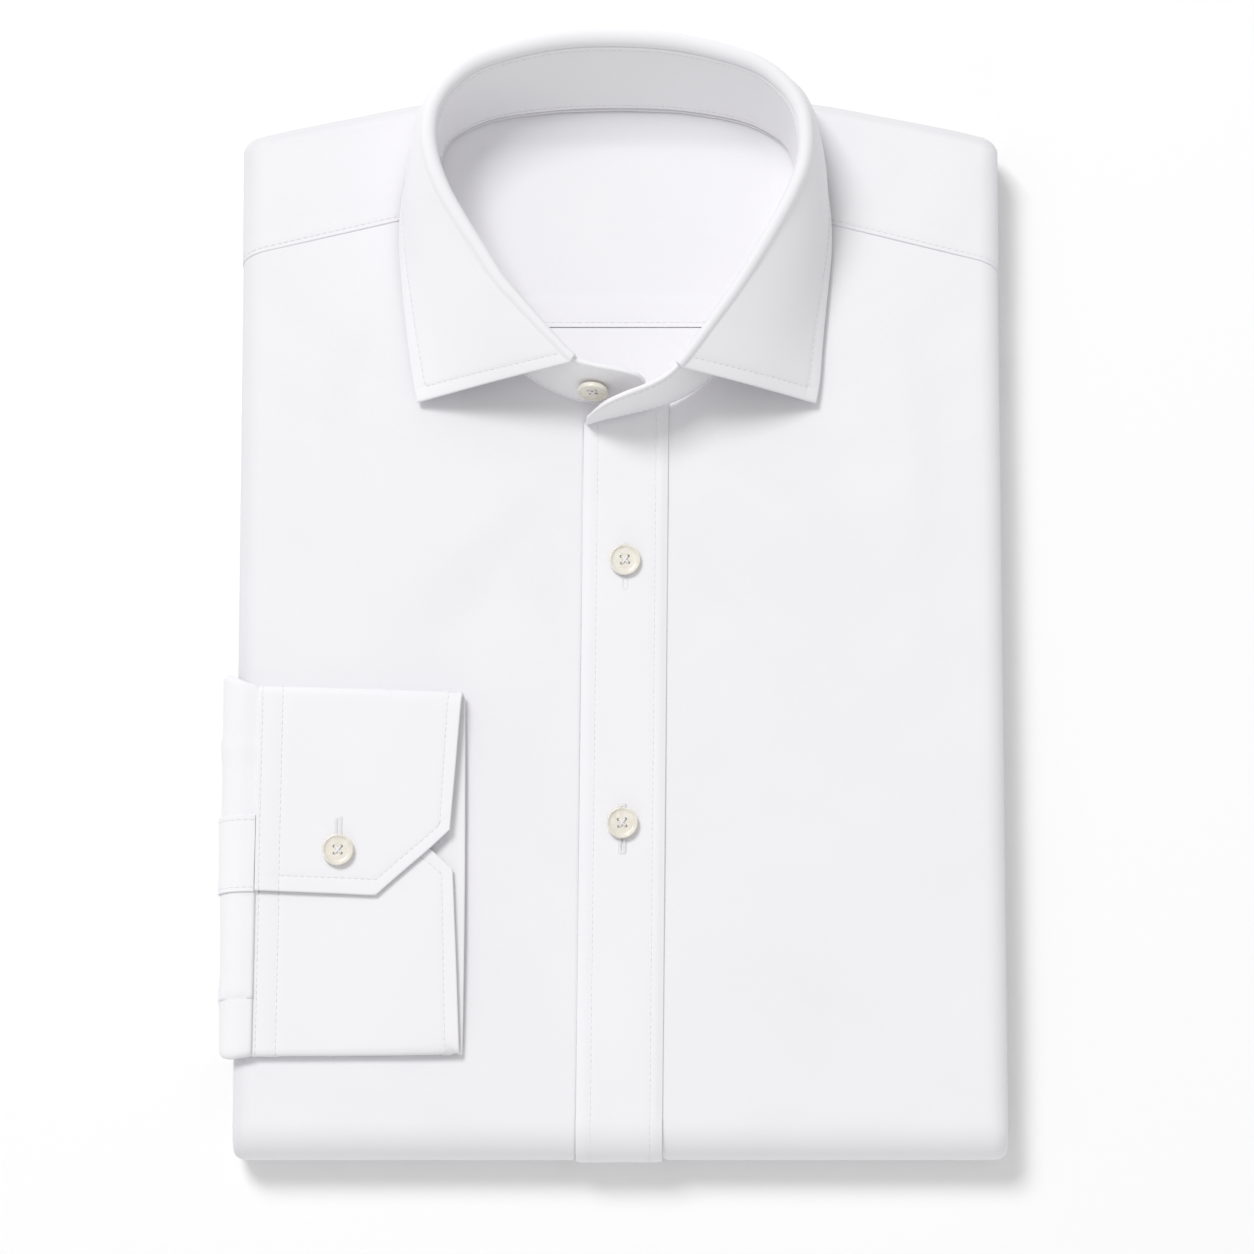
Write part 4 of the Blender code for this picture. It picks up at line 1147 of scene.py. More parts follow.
def inner_back():
    def relief(row, out, rest, start, end):
        return 0.16 * math.sin(out * 0.11 + 0.4) * math.sin(start * 0.09) - 0.12 * math.exp(-end / 3.0)

    grid = floor_grid(NECK_FLOOR[0][0], NECK_SEAM_Y - 0.06)
    return shell("inner_back_cloth", grid, INNER_WALL, relief=relief)


def inner_yoke():
    def relief(row, out, rest, start, end):
        band = 0.22 * (1.0 - ease((start - 9.0) / 3.0)) + groove(start - 1.4, 0.5, 0.14)
        return band + 0.12 * math.sin(out * 0.07 + 1.0) * math.sin(start * 0.05)

    grid = floor_grid(NECK_SEAM_Y + 0.06, NECK_FLOOR[-1][0])
    return shell("inner_yoke_cloth", grid, INNER_WALL, relief=relief)


# Collar

def stand_point(spot, share, lift=0.0):
    """Point of the stand's middle surface, at a share of its height; lift is outward."""
    seam, outward, top, _ = neck_frame(spot)
    point = seam.lerp(top, share)
    return point + outward * (STAND_BOW * math.sin(math.pi * share) + lift)


def collar_stand():
    grid = []
    for spot in span(0.0, len(STAND) - 1.0, 0.125):
        grid.append([stand_point(spot, share) for share in span(0.0, 1.0, 1.0 / 16.0)])

    def relief(row, out, rest, start, end):
        height = groove(out - STAND_STITCH, 0.55, 0.1) + groove(rest - STAND_STITCH, 0.55, 0.1)
        return height + 0.12 * math.sin(start * 0.045) * math.sin(math.pi * out / (out + rest))

    return shell("collar_stand_cloth", grid, STAND_WALL, seat=0.0, flip=True, relief=relief)


def leaf_column(spot):
    """Points from the top of the stand over the roll and down to the leaf's edge."""
    seam, _, top, outward = neck_frame(spot)
    edge = spline(LEAF_EDGE, spot - LEAF_FIRST)
    end = Vector(edge[:3])
    rise = (top - seam).normalized()
    start = top + rise * LEAF_START
    tight = ease(min(spot - LEAF_FIRST, LEAF_LAST - spot) / 9.0)
    radius = mix(ROLL_TIGHT, ROLL_RADIUS, tight)
    centre = start + rise * ROLL_RISE * mix(0.3, 0.55, tight) + outward * radius
    points = [start, start.lerp(centre - outward * radius, 0.5)]
    for angle in span(0.0, math.radians(150.0), math.radians(15.0)):
        points.append(centre - outward * radius * math.cos(angle) + rise * radius * math.sin(angle))
    base = centre + outward * radius * 1.05 - rise * 0.6
    run = end - base
    flat = Vector((run.x, run.y, 0.0))
    lift = run.cross(UP.cross(flat)).normalized()
    if lift.z < 0.0:
        lift = -lift
    for share in span(0.0, 1.0, 1.0 / 40.0):
        bow = edge[3] * math.sin(math.pi * share) * (1.0 - 0.3 * share)
        points.append(base + run * share + lift * bow)
    return points


def collar_leaf():
    grid = [leaf_column(spot) for spot in span(LEAF_FIRST, LEAF_LAST, 0.1)]
    grid = refined(grid, [0.0, 0.6], marks(LEAF_STITCH))
    grid = turned(refined(turned(grid), marks(LEAF_STITCH), marks(LEAF_STITCH)))

    def relief(row, out, rest, start, end):
        front = min(start, end)
        height = groove(rest - LEAF_STITCH, 0.6, 0.16) if front > 4.0 else 0.0
        if rest > 4.0:
            height += groove(front - LEAF_STITCH, 0.6, 0.16) * ease((out - 3.0) / 3.0)
        height += 0.1 * math.exp(-(rest / 2.5) ** 2)
        return height + 0.1 * math.sin(start * 0.05 + 0.7) * math.sin(out * 0.13) * ease(out / 20.0)

    return shell("collar_leaf_cloth", grid, LEAF_WALL, seat=0.0, flip=True, relief=relief)


# Cuff and sleeve

def cuff_seam(y):
    """X of the seam between the cuff and the sleeve."""
    return mix(CUFF_SEAM_TOP, CUFF_SEAM_LOW, min(max((CUFF_SEAM_START - y) / CUFF_SEAM_RUN, 0.0), 1.0))


def cuff():
    grid = []
    last = len(CUFF) - 1.0
    for share in span(0.0, 0.62, 0.031)[:-1] + span(0.62, 1.0, 0.02):
        mitre = along(CUFF_MITRE, share)
        low_mitre = along(CUFF_MITRE_UNDER, share)
        row = []
        for k in span(0.0, last, 0.125):
            y0, y1, z0, z1, wrist = spline(CUFF, k)
            y = mix(y0, y1, share)
            if k < 3.0:
                end = spline(CUFF, 0.0)
                y += (mix(end[0], end[1], mitre) - mix(end[0], end[1], share)) * (1.0 - k / 3.0)
            if k > last - 3.0:
                end = spline(CUFF, last)
                y += (mix(end[0], end[1], low_mitre) - mix(end[0], end[1], share)) * (1.0 - (last - k) / 3.0)
            row.append(Vector((mix(cuff_seam(y0), wrist, share), y, mix(z0, z1, share ** 1.3))))
        grid.append(row)

    grid = refined(grid, marks(CUFF_STITCH), marks(CUFF_STITCH))
    grid = turned(refined(turned(grid), marks(*CUFF_SEAM_STITCHES), marks(CUFF_STITCH)))

    def relief(row, out, rest, start, end):
        edge = min(out, rest)
        height = groove(end - CUFF_STITCH, 0.6, 0.15) if edge > 5.0 else 0.0
        height += groove(start - CUFF_SEAM_STITCHES[0], 0.5, 0.12)
        height += groove(start - CUFF_SEAM_STITCHES[1], 0.6, 0.14)
        if end > 4.0 and start > 8.0:
            height += groove(edge - CUFF_STITCH, 0.6, 0.15)
        return height + 0.12 * math.sin(out * 0.045 + 0.5) * math.sin(start * 0.06 + 0.4)

    return shell("cuff_cloth", grid, CUFF_WALL, seat=0.0, flip=True, relief=relief)


def sleeve_step(y):
    """Height of the pleats on the sleeve's outer layer."""
    for line, above, below in SLEEVE_STEPS:
        if line < y <= line + STEP_RUN:
            return above * (1.0 - (y - line) / STEP_RUN)
        if line - STEP_RUN <= y <= line:
            return below * (1.0 - (line - y) / STEP_RUN)
    return 0.0


def sleeve_end(row, y):
    """Rounding of the tube where its two layers meet."""
    reach = min(max(min(row[3] - y, y - row[4]) / 1.8, 0.0), 1.0)
    return math.sqrt(1.0 - (1.0 - reach) ** 2)


def sleeve_frame(spot):
    before = spline(SLEEVE, max(spot - 0.3, 0.0))
    after = spline(SLEEVE, min(spot + 0.3, len(SLEEVE) - 1.0))
    tangent = Vector((after[0] - before[0], 0.0, after[1] - before[1])).normalized()
    return Vector((tangent.z, 0.0, -tangent.x))


def sleeve_outer(spot, y, raised=0.0, face=1.0):
    """Point of the sleeve's outer or inner layer at a row and a distance along its width."""
    row = spline(SLEEVE, spot)
    out = sleeve_frame(spot)
    fade = 1.0 - 0.75 * ease((spot - 5.0) / 1.5)
    height = row[2] * sleeve_end(row, y) + raised
    if face > 0.0:
        height += sleeve_step(y) * fade + 0.07 * math.sin(y * 0.21 + spot) * fade
    x = mix(cuff_seam(y) - 0.1, row[0], min(spot, 1.0)) if spot < 1.0 else row[0]
    return Vector((x, y, row[1])) + out * height * face


def sleeve():
    top, low = SLEEVE[0][3], SLEEVE[0][4]
    spots = [top - d for d in (0.0, 0.15, 0.5, 1.1, 2.0)]
    spots += span(top - 3.5, low + 3.5, 2.4)
    for line, _, _ in SLEEVE_STEPS:
        spots += [line + 0.3, line + 0.05, line - 0.05, line - 0.3]
    spots += [low + d for d in (2.0, 1.1, 0.5, 0.15, 0.0)]
    shares = sorted((top - y) / (top - low) for y in spots)
    grid = []
    for spot in span(0.0, len(SLEEVE) - 1.0, 0.2):
        row = spline(SLEEVE, spot)
        ring = [sleeve_outer(spot, mix(row[3], row[4], share)) for share in shares]
        for share in reversed(shares[1:-1:3]):
            ring.append(sleeve_outer(spot, mix(row[3], row[4], share), face=-1.0))
        grid.append(ring)
    tucked = []
    for n, point in enumerate(grid[0]):
        y = min(max(point.y, SLEEVE_TUCK_LOW), SLEEVE_TUCK_TOP)
        if n >= len(shares):
            tucked.append(Vector((point.x + 0.05, y, point.z)))
            continue
        height = mix(TUCK_HEIGHTS[0], TUCK_HEIGHTS[1], ease((y + 95.2) / 1.6))
        tucked.append(Vector((point.x + SLEEVE_TUCK, y, min(height, point.z))))
        if y < -94.0:
            point.z = min(point.z, SLEEVE_LOW_HEIGHT)
    return shell("sleeve_cloth", [tucked] + grid, SLEEVE_WALL, seat=0.0, loop=True)


def sleeve_placket():
    grid = []
    for spot in span(0.0, len(SLEEVE) - 3.0, 0.2):
        row = []
        for share in span(0.0, 1.0, 1.0 / 26.0):
            y = mix(GAUNTLET_TOP, GAUNTLET_LOW, share)
            row.append(sleeve_outer(spot, y, SLEEVE_WALL / 2.0 + 0.14 + GAUNTLET_WALL))
        grid.append(row)

    def relief(row, out, rest, start, end):
        return groove(min(out, rest) - GAUNTLET_STITCH, 0.5, 0.12)

    return shell("sleeve_placket_cloth", grid, GAUNTLET_WALL, flip=True, relief=relief)


# Thread

def circle(sides):
    return [(math.cos(2.0 * math.pi * k / sides), math.sin(2.0 * math.pi * k / sides)) for k in range(sides)]


def add_rod(verts, faces, rings, flip=False):
    """Add a rod through rings of points, closed at both ends."""
    base = len(verts)
    sides = len(rings[0])
    for ring in rings:
        verts += ring
    for s in range(len(rings) - 1):
        for k in range(sides):
            first = base + s * sides
            m = (k + 1) % sides
            a, b, c, d = first + k, first + m, first + sides + m, first + sides + k
            faces.append((a, d, c, b) if flip else (a, b, c, d))
    near = [base + k for k in range(sides)]
    far = [base + (len(rings) - 1) * sides + k for k in range(sides)]
    (far if flip else near).reverse()
    faces += [tuple(near), tuple(far)]


def stitches(name, lines, pitch=2.3, radius=0.17, fill=0.7):
    """Rows of stitches along lines of (point, normal) pairs, as one mesh of small rounded bars."""
    verts = []
    faces = []
    stations = ((0.0, 0.35), (0.16, 0.85), (0.5, 1.0), (0.84, 0.85), (1.0, 0.35))
    for line in lines:
        lengths = measured([[point for point, _ in line]])[0]
        count = max(int(lengths[-1] / pitch), 1)
        step = lengths[-1] / count
        where = 0
        for n in range(count):
            group = []
            for share, _ in stations:
                spot = (n + 0.5 - fill / 2.0 + fill * share) * step
                while where < len(lengths) - 2 and lengths[where + 1] < spot:
                    where += 1
                run = lengths[where + 1] - lengths[where]
                share = (spot - lengths[where]) / run if run > 1e-9 else 0.0
                (p0, n0), (p1, n1) = line[where], line[where + 1]
                group.append((p0.lerp(p1, share), n0.lerp(n1, share).normalized()))
            along_line = (group[-1][0] - group[0][0]).normalized()
            rings = []
            for (point, normal), (_, size) in zip(group, stations):
                across_line = along_line.cross(normal).normalized()
                up = across_line.cross(along_line)
                middle = point + up * radius * (0.15 + 0.55 * size)
                rings.append([middle + (across_line * x + up * y * 0.8) * radius * size
                              for x, y in circle(5)])
            add_rod(verts, faces, rings)
    return mesh_piece(name, verts, faces)


def grid_line(grid, normals, path, lift):
    """Line of (point, normal) pairs through grid positions given as floats (row, column)."""
    line = []
    for i, j in path:
        i0 = min(int(i), len(grid) - 2)
        j0 = min(int(j), len(grid[0]) - 2)
        fi, fj = i - i0, j - j0

        def blend(values):
            low = values[i0][j0].lerp(values[i0][j0 + 1], fj)
            high = values[i0 + 1][j0].lerp(values[i0 + 1][j0 + 1], fj)
            return low.lerp(high, fi)

        normal = blend(normals).normalized()
        line.append((blend(grid) + normal * lift, normal))
    return line


def column_at(over, distance, from_end=False):
    """Position in a row of points at a distance from its first or last point."""
    target = over[-1] - distance if from_end else distance
    target = min(max(target, 0.0), over[-1])
    for j in range(len(over) - 1):
        if over[j + 1] >= target:
            gap = over[j + 1] - over[j]
            return j + ((target - over[j]) / gap if gap > 1e-9 else 0.0)
    return len(over) - 1.0


def inset_path(grid, first, last, distance, from_end):
    """Grid positions a set distance in from one edge, on rows from first to last."""
    over = measured(grid)
    return [(float(i), column_at(over[i], distance, from_end)) for i in range(first, last + 1)]


def buttonhole(name, centre, length, width=2.9):
    """Corded slit along Y: bars of thread side by side round a narrow gap, denser at both ends."""
    direction = Vector((0.0, 1.0, 0.0))
    cross = Vector((1.0, 0.0, 0.0))
    pitch = 0.42
    verts = []
    faces = []

    def bar(middle, reach, size):
        rings = []
        for share, swell in ((-1.0, 0.45), (-0.6, 0.95), (0.0, 1.0), (0.6, 0.95), (1.0, 0.45)):
            centre_point = middle + cross * reach * share
            rings.append([centre_point + (direction * -x + UP * (y + 0.35 * swell)) * size * swell
                          for x, y in circle(5)])
        add_rod(verts, faces, rings, flip=True)

    count = int(length / pitch)
    for n in range(count + 1):
        offset = direction * (-length / 2.0 + n * length / count)
        for side in (-1.0, 1.0):
            bar(centre + offset + cross * side * (width / 4.0 + 0.08), width / 4.0 - 0.08, 0.25)
    for end in (-1.0, 1.0):
        for n in range(5):
            bar(centre + direction * end * (length / 2.0 + 0.2 + n * 0.16), width / 2.0 - 0.1, 0.22)
    return mesh_piece(name, verts, faces)


# Buttons

def lathe(profile, steps):
    verts = [(0.0, 0.0, profile[0][1])]
    faces = []
    inner = profile[1:-1]
    for radius, height in inner:
        verts += [(radius * x, radius * y, height) for x, y in circle(steps)]
    verts.append((0.0, 0.0, profile[-1][1]))
    for n in range(steps):
        m = (n + 1) % steps
        faces.append((0, 1 + m, 1 + n))
        for r in range(len(inner) - 1):
            base = 1 + r * steps
            faces.append((base + n, base + m, base + steps + m, base + steps + n))
        base = 1 + (len(inner) - 1) * steps
        faces.append((base + n, base + m, len(verts) - 1))
    return verts, faces


def button(name, spot, normal, spin):
    """Four-hole button with a dished middle and its thread."""
    verts, faces = lathe(BUTTON_PROFILE, 64)
    body = mesh_piece(name, [Vector(v) for v in verts], faces)
    holes = []
    for n in range(4):
        angle = math.radians(45.0 + 90.0 * n)
        bpy.ops.mesh.primitive_cylinder_add(vertices=20, radius=BUTTON_HOLE * MM, depth=HOLE_DEPTH * MM)
        cutter = bpy.context.object
        cutter.location = (BUTTON_PITCH * MM * math.cos(angle), BUTTON_PITCH * MM * math.sin(angle),
                           HOLE_HEIGHT * MM)
        cut = body.modifiers.new("hole", "BOOLEAN")
        cut.operation = "DIFFERENCE"
        cut.object = cutter
        holes.append(cutter)
    bpy.context.view_layer.update()
    mesh = bpy.data.meshes.new_from_object(body.evaluated_get(bpy.context.evaluated_depsgraph_get()))
    body.modifiers.clear()
    body.data = mesh
    for cutter in holes:
        bpy.data.objects.remove(cutter, do_unlink=True)
    bm = bmesh.new()
    bm.from_mesh(mesh)
    bmesh.ops.remove_doubles(bm, verts=bm.verts, dist=0.000002)
    bm.to_mesh(mesh)
    bm.free()
    mesh.shade_smooth()
    mesh.set_sharp_from_angle(angle=math.radians(42.0))
    turn = UP.rotation_difference(Vector(normal)).to_matrix().to_4x4()
    matrix = Matrix.Translation(Vector(spot) * MM) @ turn @ Matrix.Rotation(math.radians(spin), 4, "Z")
    mesh.transform(matrix)

    lines = []
    reach = BUTTON_PITCH * math.cos(math.radians(45.0))
    for side in (-1.0, 1.0):
        for strand in (-0.24, -0.08, 0.08, 0.24):
            rows = []
            for share in span(-1.0, 1.0, 0.125):
                a = share * (reach + 0.35)
                b = side * share * reach + strand
                drop = 0.9 * max(abs(share) - 0.72, 0.0) / 0.28
                lift = 0.3 * (1.0 - share * share) + (0.12 if side > 0.0 else 0.0)
                rows.append(Vector((b, a, THREAD_HEIGHT + lift - drop)))
            lines.append(rows)
    thread = tubes(name + "_thread", lines, THREAD_RADIUS)
    thread.data.transform(matrix)
    return body, thread


def tubes(name, lines, radius):
    """Thin round tubes along lists of points, closed at both ends."""
    verts = []
    faces = []
    for line in lines:
        rings = []
        for n, point in enumerate(line):
            ahead = (line[min(n + 1, len(line) - 1)] - line[max(n - 1, 0)]).normalized()
            first = ahead.cross(Vector((1.0, 0.3, 0.2))).normalized()
            second = ahead.cross(first)
            rings.append([point + (first * x + second * y) * radius for x, y in circle(6)])
        add_rod(verts, faces, rings)
    return mesh_piece(name, verts, faces)


# Materials

def new_material(name):
    material = bpy.data.materials.new(name)
    material.use_nodes = True
    tree = material.node_tree
    return material, tree, tree.nodes["Principled BSDF"]


def add_node(tree, kind, inputs=None, **values):
    """Add a node; an input is given a number, a tuple or the output that it is linked to."""
    node = tree.nodes.new(kind)
    for key, value in values.items():
        setattr(node, key, value)
    for key, value in (inputs or {}).items():
        if isinstance(value, (int, float, tuple)):
            node.inputs[key].default_value = value
        else:
            tree.links.new(value, node.inputs[key])
    return node


def math_node(tree, operation, first, second):
    return add_node(tree, "ShaderNodeMath", {0: first, 1: second}, operation=operation).outputs[0]


def noise_node(tree, vector, scale, detail=2.0, distortion=0.0):
    inputs = {"Vector": vector, "Scale": scale, "Detail": detail, "Distortion": distortion}
    return add_node(tree, "ShaderNodeTexNoise", inputs).outputs["Fac"]


def ramp_node(tree, fac, first, last, start=0.0, end=1.0):
    node = add_node(tree, "ShaderNodeValToRGB", {"Fac": fac})
    for element, position, colour in zip(node.color_ramp.elements, (start, end), (first, last)):
        element.position = position
        element.color = (*colour, 1.0)
    return node.outputs["Color"]


def bump_node(tree, height, strength, distance):
    inputs = {"Height": height, "Strength": strength, "Distance": distance}
    return add_node(tree, "ShaderNodeBump", inputs).outputs[0]


# Painted shade: tone that the cloth is multiplied by on its folded edges turned up or to the left
FOLD_SHADE_TONE = (0.9, 0.9, 0.905)
WEAVE_PITCH = 0.46
CLOTH_ROUGHNESS = 0.76


def poplin(name, colour, shade, strength=0.16):
    """White plain weave: crossed threads, slubs, a soft unevenness of tone, painted shade on the folded edges
    that face up or to the left, light fuzz at grazing angles.
    """
    material, tree, shader = new_material(name)
    links = tree.links
    thread = add_node(tree, "ShaderNodeAttribute", attribute_name="thread").outputs["Vector"]
    split = add_node(tree, "ShaderNodeSeparateXYZ", {0: thread})
    bend = math_node(tree, "MULTIPLY", noise_node(tree, thread, 0.35), 0.5)
    waves = []
    for output in (split.outputs[0], split.outputs[1]):
        phase = math_node(tree, "MULTIPLY", math_node(tree, "ADD", output, bend), 2.0 * math.pi / WEAVE_PITCH)
        waves.append(math_node(tree, "SINE", phase, 0.0))
    crossed = math_node(tree, "MULTIPLY", waves[0], waves[1])
    stretched = add_node(tree, "ShaderNodeMapping", {"Vector": thread, "Scale": (2.6, 0.22, 1.0)})
    slub = noise_node(tree, stretched.outputs[0], 1.0, 3.0)
    height = math_node(tree, "ADD", math_node(tree, "MULTIPLY", crossed, 0.3),
                       math_node(tree, "MULTIPLY", slub, 0.7))
    links.new(bump_node(tree, height, strength, 0.00012), shader.inputs["Normal"])
    broad = noise_node(tree, thread, 0.021, 4.0)
    tone = math_node(tree, "ADD", math_node(tree, "MULTIPLY", broad, 0.75),
                     math_node(tree, "MULTIPLY", slub, 0.25))
    # Painted shade on the folded edges, mixed in by the third thread value
    fold_shaded = add_node(tree, "ShaderNodeMix", data_type="RGBA", blend_type="MULTIPLY")
    links.new(split.outputs[2], fold_shaded.inputs[0])
    links.new(ramp_node(tree, tone, shade, colour, 0.3, 0.7), fold_shaded.inputs[6])
    fold_shaded.inputs[7].default_value = (*FOLD_SHADE_TONE, 1.0)
    links.new(fold_shaded.outputs[2], shader.inputs["Base Color"])
    wear = math_node(tree, "ADD", math_node(tree, "MULTIPLY", slub, 0.12), CLOTH_ROUGHNESS)
    links.new(wear, shader.inputs["Roughness"])
    shader.inputs["Specular IOR Level"].default_value = 0.25
    shader.inputs["Sheen Weight"].default_value = 0.08
    shader.inputs["Sheen Roughness"].default_value = 0.5
    return material


def cotton_thread(name, colour):
    """Twisted cotton thread: fine diagonal ply and a slight sheen."""
    material, tree, shader = new_material(name)
    place_node = add_node(tree, "ShaderNodeTexCoord")
    inputs = {"Vector": place_node.outputs["Object"], "Scale": 1400.0, "Distortion": 1.5}
    ply = add_node(tree, "ShaderNodeTexWave", inputs).outputs["Fac"]
    tree.links.new(bump_node(tree, ply, 0.3, 0.00005), shader.inputs["Normal"])
    dark = tuple(0.95 * c for c in colour)
    tree.links.new(ramp_node(tree, ply, dark, colour), shader.inputs["Base Color"])
    shader.inputs["Roughness"].default_value = 0.6
    shader.inputs["Sheen Weight"].default_value = 0.1
    return material


def pearl(name):
    """Moulded cream button: cloudy milky swirl under a glossy skin, slightly translucent."""
    material, tree, shader = new_material(name)
    place_node = add_node(tree, "ShaderNodeTexCoord").outputs["Object"]
    cloud = noise_node(tree, place_node, 240.0, 3.0, 1.6)
    colours = ramp_node(tree, cloud, (0.77, 0.725, 0.635), (0.87, 0.838, 0.765), 0.32, 0.68)
    tree.links.new(colours, shader.inputs["Base Color"])
    scratches = math_node(tree, "MULTIPLY", noise_node(tree, place_node, 900.0), 0.1)
    tree.links.new(math_node(tree, "ADD", scratches, 0.18), shader.inputs["Roughness"])
    shader.inputs["Subsurface Weight"].default_value = 0.15
    shader.inputs["Subsurface Radius"].default_value = (0.002, 0.0016, 0.0012)
    shader.inputs["Coat Weight"].default_value = 0.25
    shader.inputs["Coat Roughness"].default_value = 0.12
    return material


CLOTH = poplin("poplin_white", (0.865, 0.856, 0.878), (0.838, 0.829, 0.853))
# Painted light: a lighter copy of the cloth for the neck floor, to make up for the shade inside the collar
INSIDE_PAINTED_LIGHT = poplin("poplin_inner_painted_light", (0.868, 0.86, 0.88), (0.848, 0.84, 0.862))
FUSED = poplin("poplin_fused", (0.87, 0.862, 0.883), (0.85, 0.842, 0.864), strength=0.12)
# Painted light: a lighter copy of the fused cloth for the collar stand, to make up for its shade
FUSED_PAINTED_LIGHT = poplin("poplin_band_painted_light", (0.895, 0.888, 0.903), (0.878, 0.871, 0.888), strength=0.12)
THREAD = cotton_thread("thread_white", (0.87, 0.862, 0.88))
PEARL = pearl("button_cream")


def finish_piece(obj, material, node=None):
    obj.data.materials.clear()
    obj.data.materials.append(material)
    if node is not None:
        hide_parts(node)
    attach(obj, "root")


# The shirt

right_front, right_grid, right_normals = front_panel("right_front_cloth", -1.0)
left_front, left_grid, left_normals = front_panel("left_front_cloth", 1.0)
placket_piece, _, _ = placket()
yoke_piece, yoke_grid, yoke_normals = yoke()
layers_piece = folded_layers()
back_piece, _, _ = inner_back()
inner_piece, _, _ = inner_yoke()
stand_piece, stand_grid, stand_normals = collar_stand()
leaf_piece, leaf_grid, leaf_normals = collar_leaf()
cuff_piece, cuff_grid, cuff_normals = cuff()
sleeve_piece, _, _ = sleeve()
gauntlet_piece, gauntlet_grid, gauntlet_normals = sleeve_placket()

finish_piece(right_front, CLOTH, "right_front")
finish_piece(left_front, CLOTH, "left_front")
finish_piece(placket_piece, FUSED, "placket")
finish_piece(yoke_piece, CLOTH, "yoke")
finish_piece(layers_piece, CLOTH, "folded_layers")
finish_piece(back_piece, INSIDE_PAINTED_LIGHT, "back")
finish_piece(inner_piece, INSIDE_PAINTED_LIGHT, "inner_yoke")
finish_piece(stand_piece, FUSED_PAINTED_LIGHT, "collar_stand")
finish_piece(leaf_piece, FUSED, "collar_leaf")
finish_piece(cuff_piece, FUSED, "cuff")
finish_piece(sleeve_piece, CLOTH, "sleeve")
finish_piece(gauntlet_piece, FUSED, "sleeve_placket")

# Buttons and buttonholes


def finish_button(node, spot, normal, spin):
    body, thread = button(node + "_turned", spot, normal, spin)
    finish_piece(body, PEARL, node)
    finish_piece(thread, THREAD)


seam_point, outward, top_point, _ = neck_frame(COLLAR_BUTTON_ROW)
rise = (top_point - seam_point).normalized()
face = -outward.cross(rise).cross(rise).normalized()
if face.y > 0.0:
    face = -face
share = (COLLAR_BUTTON[1] - seam_point.z) / (top_point.z - seam_point.z)
collar_spot = seam_point.lerp(top_point, share) + face * COLLAR_BUTTON_OUT
collar_spot.x = COLLAR_BUTTON[0]

for number, y in enumerate(FRONT_BUTTONS_Y, 1):
    spot = (placket_centre(y), y, THICK + PLACKET_PROUD + BUTTON_SEAT)
    finish_button("button_front_" + str(number), spot, UP, 4.0)
finish_button("button_cuff", CUFF_BUTTON, (-0.02, 0.0, 1.0), 0.0)
finish_button("button_collar", collar_spot, face, 10.0)

for number, y in enumerate(FRONT_BUTTONS_Y, 1):
    centre = Vector((placket_centre(y), y - 1.9, THICK + PLACKET_PROUD - 0.12))
    hole = buttonhole("buttonhole_front_" + str(number), centre, 15.6)
    finish_piece(hole, THREAD)
centre = Vector((CUFF_BUTTON[0] + 0.1, CUFF_BUTTON[1] + 3.6, 30.82))
finish_piece(buttonhole("buttonhole_cuff", centre, 14.5), THREAD)

# Stitch lines


def sew(name, lines, radius=0.17):
    finish_piece(stitches(name, lines, radius=radius), THREAD)


def placket_stitch(u):
    line = []
    for t in placket_rows()[1:-1]:
        lift = placket_relief(u, t) * (1.0 if t > FOLD_Y else UNDER_FADE)
        spot_t = placket_slope(t, u)
        at = placket_point(spot_t, u, lift)
        line.append((at, (placket_point(spot_t, u, lift + 1.0) - at).normalized()))
    return line


def along_rows(columns, distance, chosen, from_end=False):
    """Grid positions at a distance down each chosen column."""
    return [(column_at(columns[j], distance, from_end), float(j)) for j in chosen]


lines = [placket_stitch(-PLACKET_HALF + PLACKET_STITCH_LEFT),
         placket_stitch(PLACKET_HALF - PLACKET_STITCH_RIGHT)]
sew("placket_stitches", lines, 0.13)

columns = measured(turned(yoke_grid))
lines = [grid_line(yoke_grid, yoke_normals,
                   along_rows(columns, YOKE_STITCH, range(len(columns) - 2), from_end), 0.0)
         for from_end in (False, True)]
sew("yoke_stitches", lines, 0.14)

over = measured(leaf_grid)
columns = measured(turned(leaf_grid))
outer = [(float(i), column_at(over[i], LEAF_STITCH, True)) for i in range(len(leaf_grid))
         if LEAF_STITCH < columns[-1][i] < columns[-1][-1] - LEAF_STITCH]
chosen = [j for j in range(len(columns)) if 5.0 < over[0][j] < over[0][-1] - LEAF_STITCH]
paths = [outer] + [along_rows(columns, LEAF_STITCH, chosen, from_end) for from_end in (False, True)]
sew("leaf_stitches", [grid_line(leaf_grid, leaf_normals, path, LEAF_WALL / 2.0) for path in paths])

lines = []
for from_end in (False, True):
    path = inset_path(stand_grid, 5, len(stand_grid) - 6, STAND_STITCH, from_end)
    lines.append(grid_line(stand_grid, stand_normals, path, STAND_WALL / 2.0))
    inner = grid_line(stand_grid, stand_normals, path, -STAND_WALL / 2.0)
    lines.append([(point, -normal) for point, normal in inner])
sew("stand_stitches", lines, 0.14)

over = measured(cuff_grid)
columns = measured(turned(cuff_grid))
middle = over[len(cuff_grid) // 2]
chosen = [j for j in range(len(columns)) if CUFF_STITCH < middle[j] < middle[-1] - CUFF_STITCH]
paths = [along_rows(columns, CUFF_STITCH, chosen, True)]
paths += [along_rows(columns, distance, range(len(columns))) for distance in CUFF_SEAM_STITCHES]
chosen = [i for i in range(len(cuff_grid))
          if CUFF_SEAM_STITCHES[1] < columns[0][i] < columns[0][-1] - CUFF_STITCH]
for from_end in (False, True):
    paths.append([(float(i), column_at(over[i], CUFF_STITCH, from_end)) for i in chosen])
sew("cuff_stitches", [grid_line(cuff_grid, cuff_normals, path, CUFF_WALL / 2.0) for path in paths])

